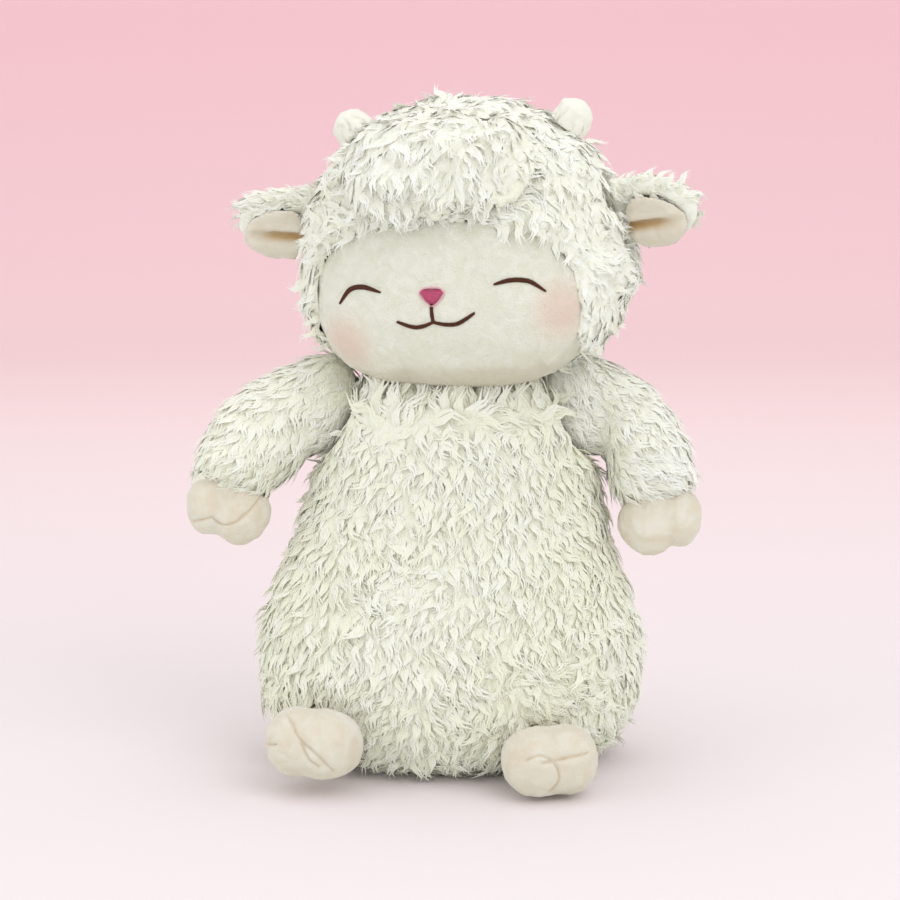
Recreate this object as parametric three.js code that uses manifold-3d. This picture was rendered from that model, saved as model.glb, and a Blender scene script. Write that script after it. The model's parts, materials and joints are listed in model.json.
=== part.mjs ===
// A plush lamb that sits upright: a pear-shaped body of curly fleece, a wide head with a smooth face,
// folded ears, two felt horns, and short arms and feet that end in cloven hooves.
// Millimetres, +Z up, the lamb looks along -Y. The origin is the middle of the flat seat.

import * as THREE from 'three';
import { mergeVertices } from 'three/addons/utils/BufferGeometryUtils.js';
import Module from 'manifold-3d';

const wasm = await Module();
wasm.setup();

// Fabrics and gaps
const FLEECE = 9; // backing and curly pile together
const MINKY = 3; // short pile cloth of the face and the hooves
const LINING = 2.4; // smooth cloth inside the ears
const THREAD = 1.2; // height of the satin stitches
const SEAM_GAP = 0.3; // between panels that are sewn edge to edge
const FILL_GAP = 0.4; // between a skin and what fills it
const TURN_GAP = 0.5; // round a root that turns in its socket
const SWING_GAP = 1.5; // between a limb and what it swings past
const SEAT_SHARE = 0.8; // a root ball is cut flat at this share of its radius

// Body
const BODY_HEIGHT = 214;
const SEAT_CUT = 0.5; // the seat is cut flat this deep
const SEAT_HALF_WIDTH = 74;
const HIP_HALF_WIDTH = 103;
const HIP_HEIGHT = 20;
const BELLY_HALF_WIDTH = 111;
const BELLY_HEIGHT = 70;
const CHEST_HALF_WIDTH = 87;
const CHEST_HEIGHT = 146;
const SHOULDER_HALF_WIDTH = 78;
const SHOULDER_HEIGHT = 192;
const COLLAR_HALF_WIDTH = 63;
const COLLAR_HEIGHT = 210;
const BODY_FLATNESS = 0.69; // depth of the body over its width
const BELLY_FORWARD = 7; // the belly hangs this far in front of the seat
const NECK_LEAN = 5; // the slumped neck stands this far to the right
const PELLET_HALF_WIDTH = 58;
const PELLET_HEIGHT = 26;

// Neck
const NECK_SPACE = 2; // between the top of the body and the underside of the head
const NECK_RADIUS = 31;
const NECK_SKIN = 5;
const NECK_AROUND = 12; // facets of its ball
const NECK_SEAT = 0.92; // the head is held at flats this share of the radius to each side
const NECK_OPENING = 17; // radius of the hole at each end of the band

// Head, measured from its own middle
const HEAD_HALF_WIDTH = 97;
const HEAD_HALF_DEPTH = 76;
const HEAD_UP = 93;
const HEAD_DOWN = 70;
const HEAD_FORWARD = 5;
const HEAD_SHIFT = 11; // the slumped head sits this far to the right of the neck
const HEAD_TURN = 16.5; // degrees, towards -X
const HEAD_ROLL = 3; // degrees, the +X side is the higher one
const JOWL = 0.75; // how much squarer the lower front is than a ball
const CHEEK_SWELL = 3;
const CROWN_SWELL = 3.5;

// Face
const FACE_HALF_WIDTH = 78;
const FACE_TOP = 30;
const FACE_BOTTOM = -72; // the panel goes round the chin
const FACE_SET = 6.5; // the face lies this far inside the fleece
const EYE_SPREAD = 46;
const EYE_HEIGHT = -4;
const EYE_WIDTH = 29;
const EYE_RISE = 6;
const EYE_LINE = 3.4;
const NOSE_HEIGHT = -10;
const NOSE_WIDTH = 14;
const NOSE_TALL = 10;
const MOUTH_HEIGHT = -24;
const MOUTH_HALF_WIDTH = 21;
const MOUTH_SAG = 5;
const MOUTH_LINE = 3;

// Fringe, the puff of fleece over the forehead
const FRINGE_HALF_WIDTH = 57;
const FRINGE_HALF_HEIGHT = 37;
const FRINGE_HALF_DEPTH = 40;
const FRINGE_MID = 50;
const FRINGE_FORWARD = 41;
const FRINGE_TILT = 25; // degrees, the top leans back
const FRINGE_PUFF = 3;

// Horns
const HORN_RADIUS = 11.5;
const HORN_TIP_RADIUS = 10;
const HORN_BULGE = 6; // height of the widest place
const HORN_LENGTH = 19;
const HORN_ROOT = 8;
const HORN_ROOT_RADIUS = 10;
const HORN_ANGLE = 38; // degrees from upright, outwards

// Ears
const EAR_LENGTH = 47;
const EAR_HALF_HEIGHT = 27;
const EAR_HALF_THICKNESS = 9;
const EAR_HEIGHT = 28;
const EAR_ROOT_RADIUS = 8;
const EAR_ROOT_STRAIGHT = 15; // half of the root's length between its round ends
const EAR_ROOT_SEAT = 21; // half of the root's length between the flats that hold it
const EAR_OVERLAP = 4; // the leaf reaches this far behind its seam
const EAR_CLEAR = 3.5; // between the root and the head, so that the ear can flap
const EAR_SWEEP = 12; // degrees, the tips point forwards
const EAR_SEAM_WIDTH = 5; // fleece edge round the lining
const EAR_FOLD = 6; // the lining sits this far below the middle, under the folded fleece
const EAR_CUP = 5; // depth of the lining's hollow
const EAR_TAPER = 0.32; // the tip is this much narrower than the root
const EAR_TILT = 24; // degrees, the lining looks down

// Arms
const ARM_ROOT_RADIUS = 26;
const ARM_RADIUS = 30;
const ARM_OUTSIDE = 4; // the shoulder's middle lies this far outside the body's side
const ARM_BELOW_TOP = 13;
const ROOT_WALL = 5; // wall of a limb where it lies against the body
const LEFT_ARM_REACH = 43;
const RIGHT_ARM_REACH = 38;
const LEFT_ARM_DROP = 31;
const RIGHT_ARM_DROP = 37;
const ARM_FORWARD = 18;
const CUFF_RADIUS = 27;
const CUFF_ROUND = 14;
const CUFF_STEPS = [0.5, 0.87]; // places of the facets along the round of the cuff

// Hooves: the cleft parts a larger lobe from a smaller one
const HOOF_SQUARENESS = 2.2; // 2 is a ball
const HOOF_CORE = 11; // the neck of a hoof reaches this far into it
const LOBE_STEP = 2; // the smaller lobe is this much shorter
const HAND_HALF_WIDTH = 25;
const HAND_LARGE_LOBE = 18; // half widths
const HAND_SMALL_LOBE = 15;
const HAND_POINT = 0.2; // the lobes' tips are this much narrower
const HAND_HALF_DEPTH = 16;
const HAND_LENGTH = 37;
const HAND_SINK = 9; // the cuff hides this much of the hoof
const WRIST_RADIUS = 14;
const WRIST_DEPTH = 8;

// Feet
const FOOT_HALF_WIDTH = 28;
const FOOT_LARGE_LOBE = 22; // half widths
const FOOT_SMALL_LOBE = 19;
const FOOT_HALF_HEIGHT = 20;
const FOOT_LENGTH = 42;
const ANKLE_RADIUS = 16;
const ANKLE_NECK = 13; // radius of the neck between the ankle and the hoof
const FOOT_SINK = 10;
const FOOT_CLEAR = 1.2; // above the ground
const LEFT_FOOT_LIFT = 8;
const LEFT_FOOT_SPREAD = 68;
const RIGHT_FOOT_SPREAD = 48;
const FOOT_SPLAY = 12; // degrees, outwards
const FOOT_SWING = 18; // degrees, how far the toes can tip up

// Tail
const TAIL_HEIGHT = 46;
const TAIL_RADIUS = 15;
const TAIL_LENGTH = 34;
const TAIL_ROOT_RADIUS = 11;
const TAIL_SWING = 20; // degrees, either way

// Facets
const OUTER = { around: 26, rings: 15 };
const INNER = { around: 16, rings: 9 };
const LIMB = { around: 14, rings: 8 };
const LIMB_INNER = { around: 10, rings: 7 };
const LOBE = { around: 12, rings: 6 };
const LOBE_INNER = { around: 10, rings: 5 };

const FIBRE = { color: 0xf5f3ec, roughness: 1.0 };
const IVORY_FLEECE = { color: 0xe9e6d6, roughness: 0.95 };
const FACE_PILE = { color: 0xe8e4d4, roughness: 0.85 };
const HOOF_PILE = { color: 0xeee1cf, roughness: 0.85 };
const EAR_CLOTH = { color: 0xe1d4c3, roughness: 0.8 };
const HORN_FELT = { color: 0xece8d4, roughness: 0.9 };
const BROWN_THREAD = { color: 0x4a2016, roughness: 0.55 };
const PINK_THREAD = { color: 0xc83a6c, roughness: 0.5 };
const POUCH_CLOTH = { color: 0xcfcabc, roughness: 0.9 };
const SEAT_CLOTH = { color: 0xe6e1d0, roughness: 0.9 };

const radians = THREE.MathUtils.degToRad;

// Turns a geometry into a closed solid, whichever way its faces were wound.
function solid(geometry) {
  const bare = new THREE.BufferGeometry();
  bare.setAttribute('position', geometry.getAttribute('position').clone());
  bare.setIndex(geometry.getIndex());
  const merged = mergeVertices(bare, 1e-4);
  const vertProperties = new Float32Array(merged.getAttribute('position').array);
  const faces = [];
  const index = merged.getIndex().array;
  for (let i = 0; i < index.length; i += 3) {
    const [a, b, c] = index.slice(i, i + 3);
    if (a !== b && b !== c && c !== a) faces.push(a, b, c);
  }
  const triVerts = new Uint32Array(signedVolume(vertProperties, faces) < 0 ? faces.reverse() : faces);
  return new wasm.Manifold(new wasm.Mesh({ numProp: 3, vertProperties, triVerts }));
}

function signedVolume(xyz, faces) {
  const corner = (i) => new THREE.Vector3().fromArray(xyz, 3 * i);
  let volume = 0;
  for (let i = 0; i < faces.length; i += 3) {
    volume += corner(faces[i]).dot(corner(faces[i + 1]).cross(corner(faces[i + 2]))) / 6;
  }
  return volume;
}

function piece(name, body, { color, roughness }) {
  const { vertProperties, triVerts } = body.getMesh();
  const geometry = new THREE.BufferGeometry();
  geometry.setAttribute('position', new THREE.BufferAttribute(new Float32Array(vertProperties), 3));
  geometry.setIndex(new THREE.BufferAttribute(new Uint32Array(triVerts), 1));
  geometry.computeVertexNormals();
  const mesh = new THREE.Mesh(geometry, new THREE.MeshStandardMaterial({ color, roughness, metalness: 0 }));
  mesh.name = name;
  return mesh;
}

// Moves every point along its normal: outwards to grow a form, inwards for the inside of a wall.
function grown(geometry, distance) {
  geometry.deleteAttribute('normal');
  geometry.deleteAttribute('uv');
  const form = mergeVertices(geometry, 1e-4);
  form.computeVertexNormals();
  const place = form.getAttribute('position');
  const normal = form.getAttribute('normal');
  const outwards = signedVolume(place.array, form.getIndex().array) < 0 ? -1 : 1;
  const point = new THREE.Vector3();
  const step = new THREE.Vector3();
  for (let i = 0; i < place.count; i += 1) {
    step.fromBufferAttribute(normal, i).multiplyScalar(outwards * distance);
    point.fromBufferAttribute(place, i).add(step);
    place.setXYZ(i, point.x, point.y, point.z);
  }
  return form;
}

function mapped(geometry, change) {
  const place = geometry.getAttribute('position');
  const point = new THREE.Vector3();
  for (let i = 0; i < place.count; i += 1) {
    change(point.fromBufferAttribute(place, i));
    place.setXYZ(i, point.x, point.y, point.z);
  }
  return geometry;
}

// A ball with its poles up and down, whose unit directions are turned into points by a rule.
function shapedBall({ around, rings }, rule) {
  return mapped(new THREE.SphereGeometry(1, around, rings).rotateX(Math.PI / 2), rule);
}

// Pushes a unit direction out towards a rounded box: 2 keeps the ball, more is squarer.
function squared(point, power) {
  const sum = Math.abs(point.x) ** power + Math.abs(point.y) ** power + Math.abs(point.z) ** power;
  return point.multiplyScalar(sum ** (-1 / power));
}

function ball(radius, centre, around = 14) {
  const sphere = new THREE.SphereGeometry(radius, around, around / 2);
  return solid(sphere.translate(centre.x, centre.y, centre.z));
}

function block(width, depth, height, x, y, z) {
  return solid(new THREE.BoxGeometry(width, depth, height).translate(x, y, z));
}

// Keeps what lies between two planes across an axis, at a distance from a centre.
function between(form, axis, distance, centre) {
  const size = new THREE.Vector3().setScalar(4 * BODY_HEIGHT);
  size[axis] = 2 * distance;
  return form.intersect(block(size.x, size.y, size.z, centre.x, centre.y, centre.z));
}

// A ball with a flat at both ends of its joint's axis, where its seam holds it while it turns.
function rootBall(radius, centre, axis, around = 14) {
  return between(ball(radius, centre, around), axis, radius * SEAT_SHARE, centre);
}

// The hollow that a root ball turns in: the facets lie outside the ball at every angle.
function rootSocket(radius, centre, axis, around = 14) {
  const wide = (radius + TURN_GAP) / Math.cos(Math.PI / around) ** 2;
  return between(ball(wide, centre, around), axis, radius * SEAT_SHARE + SEAM_GAP, centre);
}

function turned(outline, around) {
  return new THREE.LatheGeometry(outline, around).rotateX(Math.PI / 2);
}

function smoothOutline(points, steps) {
  const flat = points.map(([radius, height]) => new THREE.Vector3(radius, height, 0));
  const curve = new THREE.CatmullRomCurve3(flat);
  const outline = curve.getSpacedPoints(steps).map((p) => new THREE.Vector2(Math.max(p.x, 0), p.y));
  outline[0].x = 0;
  outline[steps].x = 0;
  return outline;
}

// A form as a part of a joint meets it when it has turned by some angles about X or Z.
function sweptForm(form, axis, angles) {
  const copies = angles.map((angle) => {
    const copy = form.clone();
    return solid(axis === 'x' ? copy.rotateX(radians(angle)) : copy.rotateZ(radians(angle)));
  });
  return wasm.Manifold.union(copies);
}

// Body
const BODY_OUTLINE = [
  [0, -SEAT_CUT],
  [SEAT_HALF_WIDTH, -SEAT_CUT],
  [HIP_HALF_WIDTH, HIP_HEIGHT],
  [BELLY_HALF_WIDTH, BELLY_HEIGHT],
  [CHEST_HALF_WIDTH, CHEST_HEIGHT],
  [SHOULDER_HALF_WIDTH, SHOULDER_HEIGHT],
  [COLLAR_HALF_WIDTH, COLLAR_HEIGHT],
  [0, BODY_HEIGHT],
];

function bodyShift(height) {
  const rise = THREE.MathUtils.clamp(height / BODY_HEIGHT, 0, 1);
  const belly = Math.sin(Math.PI * Math.sqrt(rise));
  return { x: NECK_LEAN * rise * rise, y: -BELLY_FORWARD * belly };
}

function bodyForm(growth, { around, rings } = OUTER) {
  const form = turned(smoothOutline(BODY_OUTLINE, rings), around);
  mapped(form, (point) => {
    const shift = bodyShift(point.z);
    point.set(point.x + shift.x, point.y * BODY_FLATNESS + shift.y, point.z);
  });
  return grown(form, growth);
}

function bodyHalfWidth(height) {
  const outline = smoothOutline(BODY_OUTLINE, 200);
  const next = outline.findIndex((point, i) => i > 0 && point.y >= height && outline[i - 1].y < height);
  const below = outline[next - 1];
  const above = outline[next];
  return below.x + ((above.x - below.x) * (height - below.y)) / (above.y - below.y);
}

// The point of the body's skin at a height and a side distance, in front or behind.
function bodySkin(x, height, face) {
  const halfWidth = bodyHalfWidth(height);
  const shift = bodyShift(height);
  const across = THREE.MathUtils.clamp((x - shift.x) / halfWidth, -0.95, 0.95);
  const y = shift.y + face * halfWidth * BODY_FLATNESS * Math.sqrt(1 - across * across);
  return new THREE.Vector3(x, y, height);
}

// Places of the joints
const neckCentre = new THREE.Vector3(NECK_LEAN, bodyShift(BODY_HEIGHT).y, BODY_HEIGHT + NECK_SPACE / 2);

function shoulderCentre(side) {
  const height = BODY_HEIGHT - ARM_BELOW_TOP;
  const shift = bodyShift(height);
  return new THREE.Vector3(side * (bodyHalfWidth(height) + ARM_OUTSIDE), shift.y, height);
}

function footCentre(side) {
  const lift = side < 0 ? LEFT_FOOT_LIFT : 0;
  const spread = side < 0 ? -LEFT_FOOT_SPREAD : RIGHT_FOOT_SPREAD;
  const skin = bodySkin(spread, FOOT_HALF_HEIGHT + FOOT_CLEAR + lift, -1);
  return skin.add(new THREE.Vector3(0, FOOT_SINK, 0));
}

const tailCentre = bodySkin(0, TAIL_HEIGHT, 1);

function bodyPieces() {
  const reach = 4 * BODY_HEIGHT;
  const seatSeam = FLEECE + 3;
  const ground = block(reach, reach, reach, 0, 0, -reach / 2);
  const inside = bodyForm(-FLEECE, INNER);
  const sockets = [
    rootSocket(NECK_RADIUS, neckCentre, 'z', NECK_AROUND),
    rootSocket(ARM_ROOT_RADIUS, shoulderCentre(-1), 'x'),
    rootSocket(ARM_ROOT_RADIUS, shoulderCentre(1), 'x'),
    rootSocket(ANKLE_RADIUS, footCentre(-1), 'x', 12),
    rootSocket(ANKLE_RADIUS, footCentre(1), 'x', 12),
    rootSocket(TAIL_ROOT_RADIUS, tailCentre, 'z', 10),
  ];
  const socket = wasm.Manifold.union(sockets);
  const skin = solid(bodyForm(0)).subtract(solid(inside)).subtract(socket).subtract(ground);
  const below = block(reach, reach, reach, 0, 0, seatSeam - reach / 2 - SEAM_GAP / 2);
  const above = block(reach, reach, reach, 0, 0, seatSeam + reach / 2 + SEAM_GAP / 2);
  const front = block(reach, reach, reach, 0, -reach / 2 - SEAM_GAP / 2, 0);
  const back = block(reach, reach, reach, 0, reach / 2 + SEAM_GAP / 2, 0);
  const left = block(reach, reach, reach, -reach / 2 - SEAM_GAP / 2, 0, 0);
  const right = block(reach, reach, reach, reach / 2 + SEAM_GAP / 2, 0, 0);
  const upper = skin.intersect(above);

  const fill = solid(bodyForm(-FLEECE - FILL_GAP, INNER)).subtract(socket);
  const pellets = shapedBall({ around: 14, rings: 6 }, (point) => {
    squared(point, 2.6);
    point.multiply(new THREE.Vector3(PELLET_HALF_WIDTH, PELLET_HALF_WIDTH * BODY_FLATNESS, PELLET_HEIGHT));
    point.z += FLEECE;
  });
  return [
    piece('body_front', upper.intersect(front), IVORY_FLEECE),
    piece('body_back_left', upper.intersect(back).intersect(left), IVORY_FLEECE),
    piece('body_back_right', upper.intersect(back).intersect(right), IVORY_FLEECE),
    piece('seat_panel', skin.intersect(below), SEAT_CLOTH),
    piece('body_stuffing', fill.subtract(solid(grown(pellets.clone(), FILL_GAP))), FIBRE),
    piece('pellet_pouch', solid(pellets).intersect(fill), POUCH_CLOTH),
  ];
}

// Neck: a ball of stuffing in a ring of fleece, open towards the body and the head
function neckPieces() {
  const middle = new THREE.Vector3();
  const core = NECK_RADIUS - NECK_SKIN;
  const hole = new THREE.CylinderGeometry(NECK_OPENING, NECK_OPENING, 4 * NECK_RADIUS, NECK_AROUND);
  const bore = solid(hole.rotateX(Math.PI / 2));
  const outside = between(rootBall(NECK_RADIUS, middle, 'z', NECK_AROUND), 'x', NECK_RADIUS * NECK_SEAT, middle);
  const ring = outside.subtract(ball(core, middle, NECK_AROUND)).subtract(bore);
  const group = new THREE.Group();
  group.position.copy(neckCentre);
  group.add(piece('neck_band', ring, IVORY_FLEECE));
  const fill = ball(core - FILL_GAP, middle, NECK_AROUND);
  group.add(piece('neck_stuffing', between(fill, 'z', NECK_RADIUS * SEAT_SHARE, middle), FIBRE));
  return group;
}

// Head, in a frame whose origin is the middle of the neck's ball
const headMiddle = new THREE.Vector3(HEAD_SHIFT, -HEAD_FORWARD, HEAD_DOWN + NECK_SPACE / 2);

// How much the stuffing pushes a direction of the head outwards: two cheeks, two bumps of the crown.
function headSwell(direction) {
  const spots = [
    { x: 0.62, y: -0.62, z: -0.42, swell: CHEEK_SWELL, width: 0.42 },
    { x: 0.24, y: -0.1, z: 0.96, swell: CROWN_SWELL, width: 0.24 },
  ];
  let push = 0;
  for (const { x, y, z, swell, width } of spots) {
    for (const side of [-1, 1]) {
      const away = direction.distanceTo(new THREE.Vector3(side * x, y, z).normalize());
      push += swell * Math.exp(-((away / width) ** 2));
    }
  }
  return push;
}

function headForm(growth, detail = OUTER) {
  const form = shapedBall(detail, (point) => {
    const push = headSwell(point);
    const jowl = JOWL * Math.max(0, -point.y) * Math.max(0, -point.z) * 2;
    squared(point, 2.15 + jowl);
    const half = new THREE.Vector3(HEAD_HALF_WIDTH, HEAD_HALF_DEPTH, point.z > 0 ? HEAD_UP : HEAD_DOWN);
    const length = point.length();
    point.multiply(half).addScaledVector(point.clone().normalize(), push / length);
    point.add(headMiddle);
  });
  return grown(form, growth);
}

// An upright outline of the face, pushed through the head from front to back.
function throughHead(shape, from = -2 * HEAD_HALF_DEPTH, to = 0) {
  const settings = { depth: to - from, bevelEnabled: false, curveSegments: 8 };
  const prism = new THREE.ExtrudeGeometry(shape, settings).rotateX(Math.PI / 2);
  return solid(prism.translate(headMiddle.x, headMiddle.y + to, headMiddle.z));
}

function faceShape(growth) {
  const middle = (FACE_TOP + FACE_BOTTOM) / 2;
  const halfHeight = (FACE_TOP - FACE_BOTTOM) / 2 + growth;
  const halfWidth = FACE_HALF_WIDTH + growth;
  const points = [];
  const count = 30;
  for (let i = 0; i < count; i += 1) {
    const angle = (2 * Math.PI * i) / count;
    const point = squared(new THREE.Vector3(Math.cos(angle), Math.sin(angle), 0), 2.7);
    points.push(new THREE.Vector2(point.x * halfWidth, middle + point.y * halfHeight));
  }
  return new THREE.Shape(points);
}

// A curved line of stitches that is widest at its middle: rise up for a brow, down for a smile.
function crescent(x, z, width, rise, line) {
  const shape = new THREE.Shape();
  shape.moveTo(x - width / 2, z);
  shape.quadraticCurveTo(x, z + 2 * rise + line, x + width / 2, z);
  shape.lineTo(x + width / 2 - line / 3, z - line / 2);
  shape.quadraticCurveTo(x, z + 2 * rise - line, x - width / 2 + line / 3, z - line / 2);
  return shape;
}

function noseShape() {
  const half = NOSE_WIDTH / 2;
  const top = NOSE_HEIGHT + NOSE_TALL / 2;
  const bottom = NOSE_HEIGHT - NOSE_TALL / 2;
  const shape = new THREE.Shape();
  shape.moveTo(0, bottom);
  shape.quadraticCurveTo(half, NOSE_HEIGHT, half, top - 1);
  shape.quadraticCurveTo(half, top + 1, 0, top);
  shape.quadraticCurveTo(-half, top + 1, -half, top - 1);
  shape.quadraticCurveTo(-half, NOSE_HEIGHT, 0, bottom);
  return shape;
}

function facePieces(neckSocket) {
  const skin = headForm(-FACE_SET);
  const top = solid(grown(skin.clone(), SEAM_GAP + THREAD));
  const under = solid(grown(skin.clone(), SEAM_GAP));
  const threads = top.subtract(under);
  const stitched = (shapes) => threads.intersect(wasm.Manifold.union(shapes.map((s) => throughHead(s))));
  const stem = new THREE.Shape();
  stem.moveTo(-MOUTH_LINE / 2, MOUTH_HEIGHT - MOUTH_LINE);
  stem.lineTo(MOUTH_LINE / 2, MOUTH_HEIGHT - MOUTH_LINE);
  stem.lineTo(MOUTH_LINE / 2, NOSE_HEIGHT - NOSE_TALL / 2 - 1);
  stem.lineTo(-MOUTH_LINE / 2, NOSE_HEIGHT - NOSE_TALL / 2 - 1);
  const arc = MOUTH_HALF_WIDTH + MOUTH_LINE;
  const smile = [-1, 1].map((side) => {
    return crescent(side * (arc / 2 - MOUTH_LINE), MOUTH_HEIGHT, arc, -MOUTH_SAG, MOUTH_LINE);
  });
  const face = solid(skin).subtract(solid(headForm(-FACE_SET - MINKY, INNER))).subtract(neckSocket);
  const pieces = [
    piece('face_panel', face.intersect(throughHead(faceShape(-SEAM_GAP / 2))), FACE_PILE),
    piece('nose', stitched([noseShape()]), PINK_THREAD),
    piece('mouth', stitched([stem, ...smile]), BROWN_THREAD),
  ];
  for (const [name, side] of [['eye_left', -1], ['eye_right', 1]]) {
    const brow = crescent(side * EYE_SPREAD, EYE_HEIGHT, EYE_WIDTH, EYE_RISE, EYE_LINE);
    pieces.push(piece(name, stitched([brow]), BROWN_THREAD));
  }
  return pieces;
}

// The fringe swells into three puffs and is hollowed at the back by the head that it lies on.
function fringePiece() {
  const form = shapedBall({ around: 22, rings: 10 }, (point) => {
    const puff = FRINGE_PUFF * Math.cos(3 * Math.PI * point.x) * Math.abs(point.z);
    squared(point, 2.4);
    point.multiply(new THREE.Vector3(FRINGE_HALF_WIDTH, FRINGE_HALF_DEPTH, FRINGE_HALF_HEIGHT + puff));
  });
  form.rotateX(radians(-FRINGE_TILT)).translate(0, -FRINGE_FORWARD, FRINGE_MID);
  form.translate(headMiddle.x, headMiddle.y, headMiddle.z);
  return piece('fringe', solid(form).subtract(solid(headForm(SEAM_GAP))), IVORY_FLEECE);
}

function hornPiece(name, side) {
  const outline = smoothOutline([
    [0, -HORN_ROOT],
    [HORN_ROOT_RADIUS, -HORN_ROOT],
    [HORN_RADIUS, HORN_BULGE],
    [HORN_TIP_RADIUS, HORN_LENGTH - HORN_TIP_RADIUS / 2],
    [0, HORN_LENGTH],
  ], 7);
  const lean = radians(HORN_ANGLE);
  const seat = new THREE.Vector3(side * Math.sin(lean) * HEAD_HALF_WIDTH, 0, Math.cos(lean) * HEAD_UP);
  const form = turned(outline, 12).rotateY(side * lean).translate(seat.x, seat.y, seat.z);
  form.translate(headMiddle.x, headMiddle.y, headMiddle.z);
  return piece(name, solid(form).subtract(solid(headForm(SEAM_GAP))), HORN_FELT);
}

// Ears, in a frame at the middle of the seam that they fold about; +X points to the tip.
function earCentre(side) {
  const across = Math.sqrt(1 - (EAR_HEIGHT / HEAD_UP) ** 2);
  const x = side * (HEAD_HALF_WIDTH * across - EAR_ROOT_RADIUS / 3);
  return new THREE.Vector3(x, 0, EAR_HEIGHT).add(headMiddle);
}

function earRoot() {
  const capsule = new THREE.CapsuleGeometry(EAR_ROOT_RADIUS, 2 * EAR_ROOT_STRAIGHT, 2, 12);
  return between(solid(capsule.rotateX(Math.PI / 2)), 'z', EAR_ROOT_SEAT, new THREE.Vector3());
}

// Wider than the root all round, so that the ear can flap, and close to it at both ends.
function earSocket() {
  const capsule = new THREE.CapsuleGeometry(EAR_ROOT_RADIUS + EAR_CLEAR, 2 * EAR_ROOT_STRAIGHT, 2, 12);
  return between(solid(capsule.rotateX(Math.PI / 2)), 'z', EAR_ROOT_SEAT + SEAM_GAP, new THREE.Vector3());
}

// A leaf that is widest at the seam; inset draws its edge inwards.
function leafForm(inset, halfThickness) {
  const half = EAR_LENGTH / 2 + EAR_OVERLAP / 2;
  return shapedBall({ around: 16, rings: 8 }, (point) => {
    squared(point, 2.3);
    const height = EAR_HALF_HEIGHT * (1 - (EAR_TAPER * (point.x + 1)) / 2);
    point.multiply(new THREE.Vector3(half - inset, halfThickness, height - inset));
    point.x += EAR_LENGTH - half;
  });
}

function earPieces(side, names) {
  const group = new THREE.Group();
  group.position.copy(earCentre(side));
  group.rotation.set(radians(side * EAR_TILT), 0, radians(side < 0 ? 180 + EAR_SWEEP : -EAR_SWEEP), 'ZYX');
  group.updateMatrix();
  // The lining's hollow opens towards the front of the lamb.
  const forwards = side < 0 ? 1 : -1;
  const hollow = (gap) => {
    const form = leafForm(EAR_SEAM_WIDTH + gap, EAR_CUP - gap);
    return solid(form.translate(0, forwards * EAR_HALF_THICKNESS, -EAR_FOLD));
  };
  // The leaf begins inside the root's round, where it can turn without meeting the head.
  const clear = EAR_ROOT_RADIUS * 0.4;
  const outside = block(4 * EAR_LENGTH, 4 * EAR_LENGTH, 4 * EAR_LENGTH, 2 * EAR_LENGTH + clear, 0, 0);
  const leaf = solid(leafForm(0, EAR_HALF_THICKNESS)).intersect(outside);
  const back = leaf.add(earRoot()).subtract(hollow(0));
  const bed = hollow(SEAM_GAP);
  const lining = bed.subtract(bed.translate([0, forwards * LINING, 0]));
  const edge = solid(leafForm(SEAM_GAP, EAR_HALF_THICKNESS - SEAM_GAP));
  const cup = lining.intersect(edge).intersect(outside);
  group.add(piece(names.back, back, IVORY_FLEECE));
  group.add(piece(names.lining, cup, EAR_CLOTH));
  return group;
}

function headPieces() {
  const group = new THREE.Group();
  group.position.copy(neckCentre);
  group.rotation.set(0, radians(-HEAD_ROLL), radians(-HEAD_TURN), 'YZX');
  const reach = 6 * HEAD_HALF_WIDTH;
  const middle = new THREE.Vector3();
  const turning = (NECK_RADIUS + TURN_GAP) / Math.cos(Math.PI / NECK_AROUND) ** 2;
  const hollow = ball(turning, middle, NECK_AROUND);
  const seat = between(hollow, 'x', NECK_RADIUS * NECK_SEAT + SEAM_GAP, middle);
  const level = new THREE.Matrix4().makeRotationFromEuler(group.rotation).invert();
  const neckSocket = seat.transform(level.elements);
  const ears = [
    earPieces(-1, { back: 'ear_left_back', lining: 'ear_left_lining' }),
    earPieces(1, { back: 'ear_right_back', lining: 'ear_right_lining' }),
  ];
  const earSockets = ears.map((ear) => earSocket().transform(ear.matrix.elements));
  const socket = wasm.Manifold.union([neckSocket, ...earSockets]);
  const shell = solid(headForm(0)).subtract(solid(headForm(-FLEECE, INNER)));
  const hood = shell.subtract(socket).subtract(throughHead(faceShape(SEAM_GAP / 2)));
  const half = (side) => block(reach, reach, reach, side * (reach / 2 + SEAM_GAP / 2), 0, 0);
  const depth = Math.max(FLEECE, FACE_SET + MINKY) + FILL_GAP;
  const fill = solid(headForm(-depth, INNER)).subtract(socket);
  group.add(piece('hood_left', hood.intersect(half(-1)), IVORY_FLEECE));
  group.add(piece('hood_right', hood.intersect(half(1)), IVORY_FLEECE));
  group.add(piece('head_stuffing', fill, FIBRE));
  group.add(...facePieces(neckSocket));
  group.add(fringePiece());
  group.add(hornPiece('horn_left', -1));
  group.add(hornPiece('horn_right', 1));
  group.add(...ears);
  return group;
}

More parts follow.
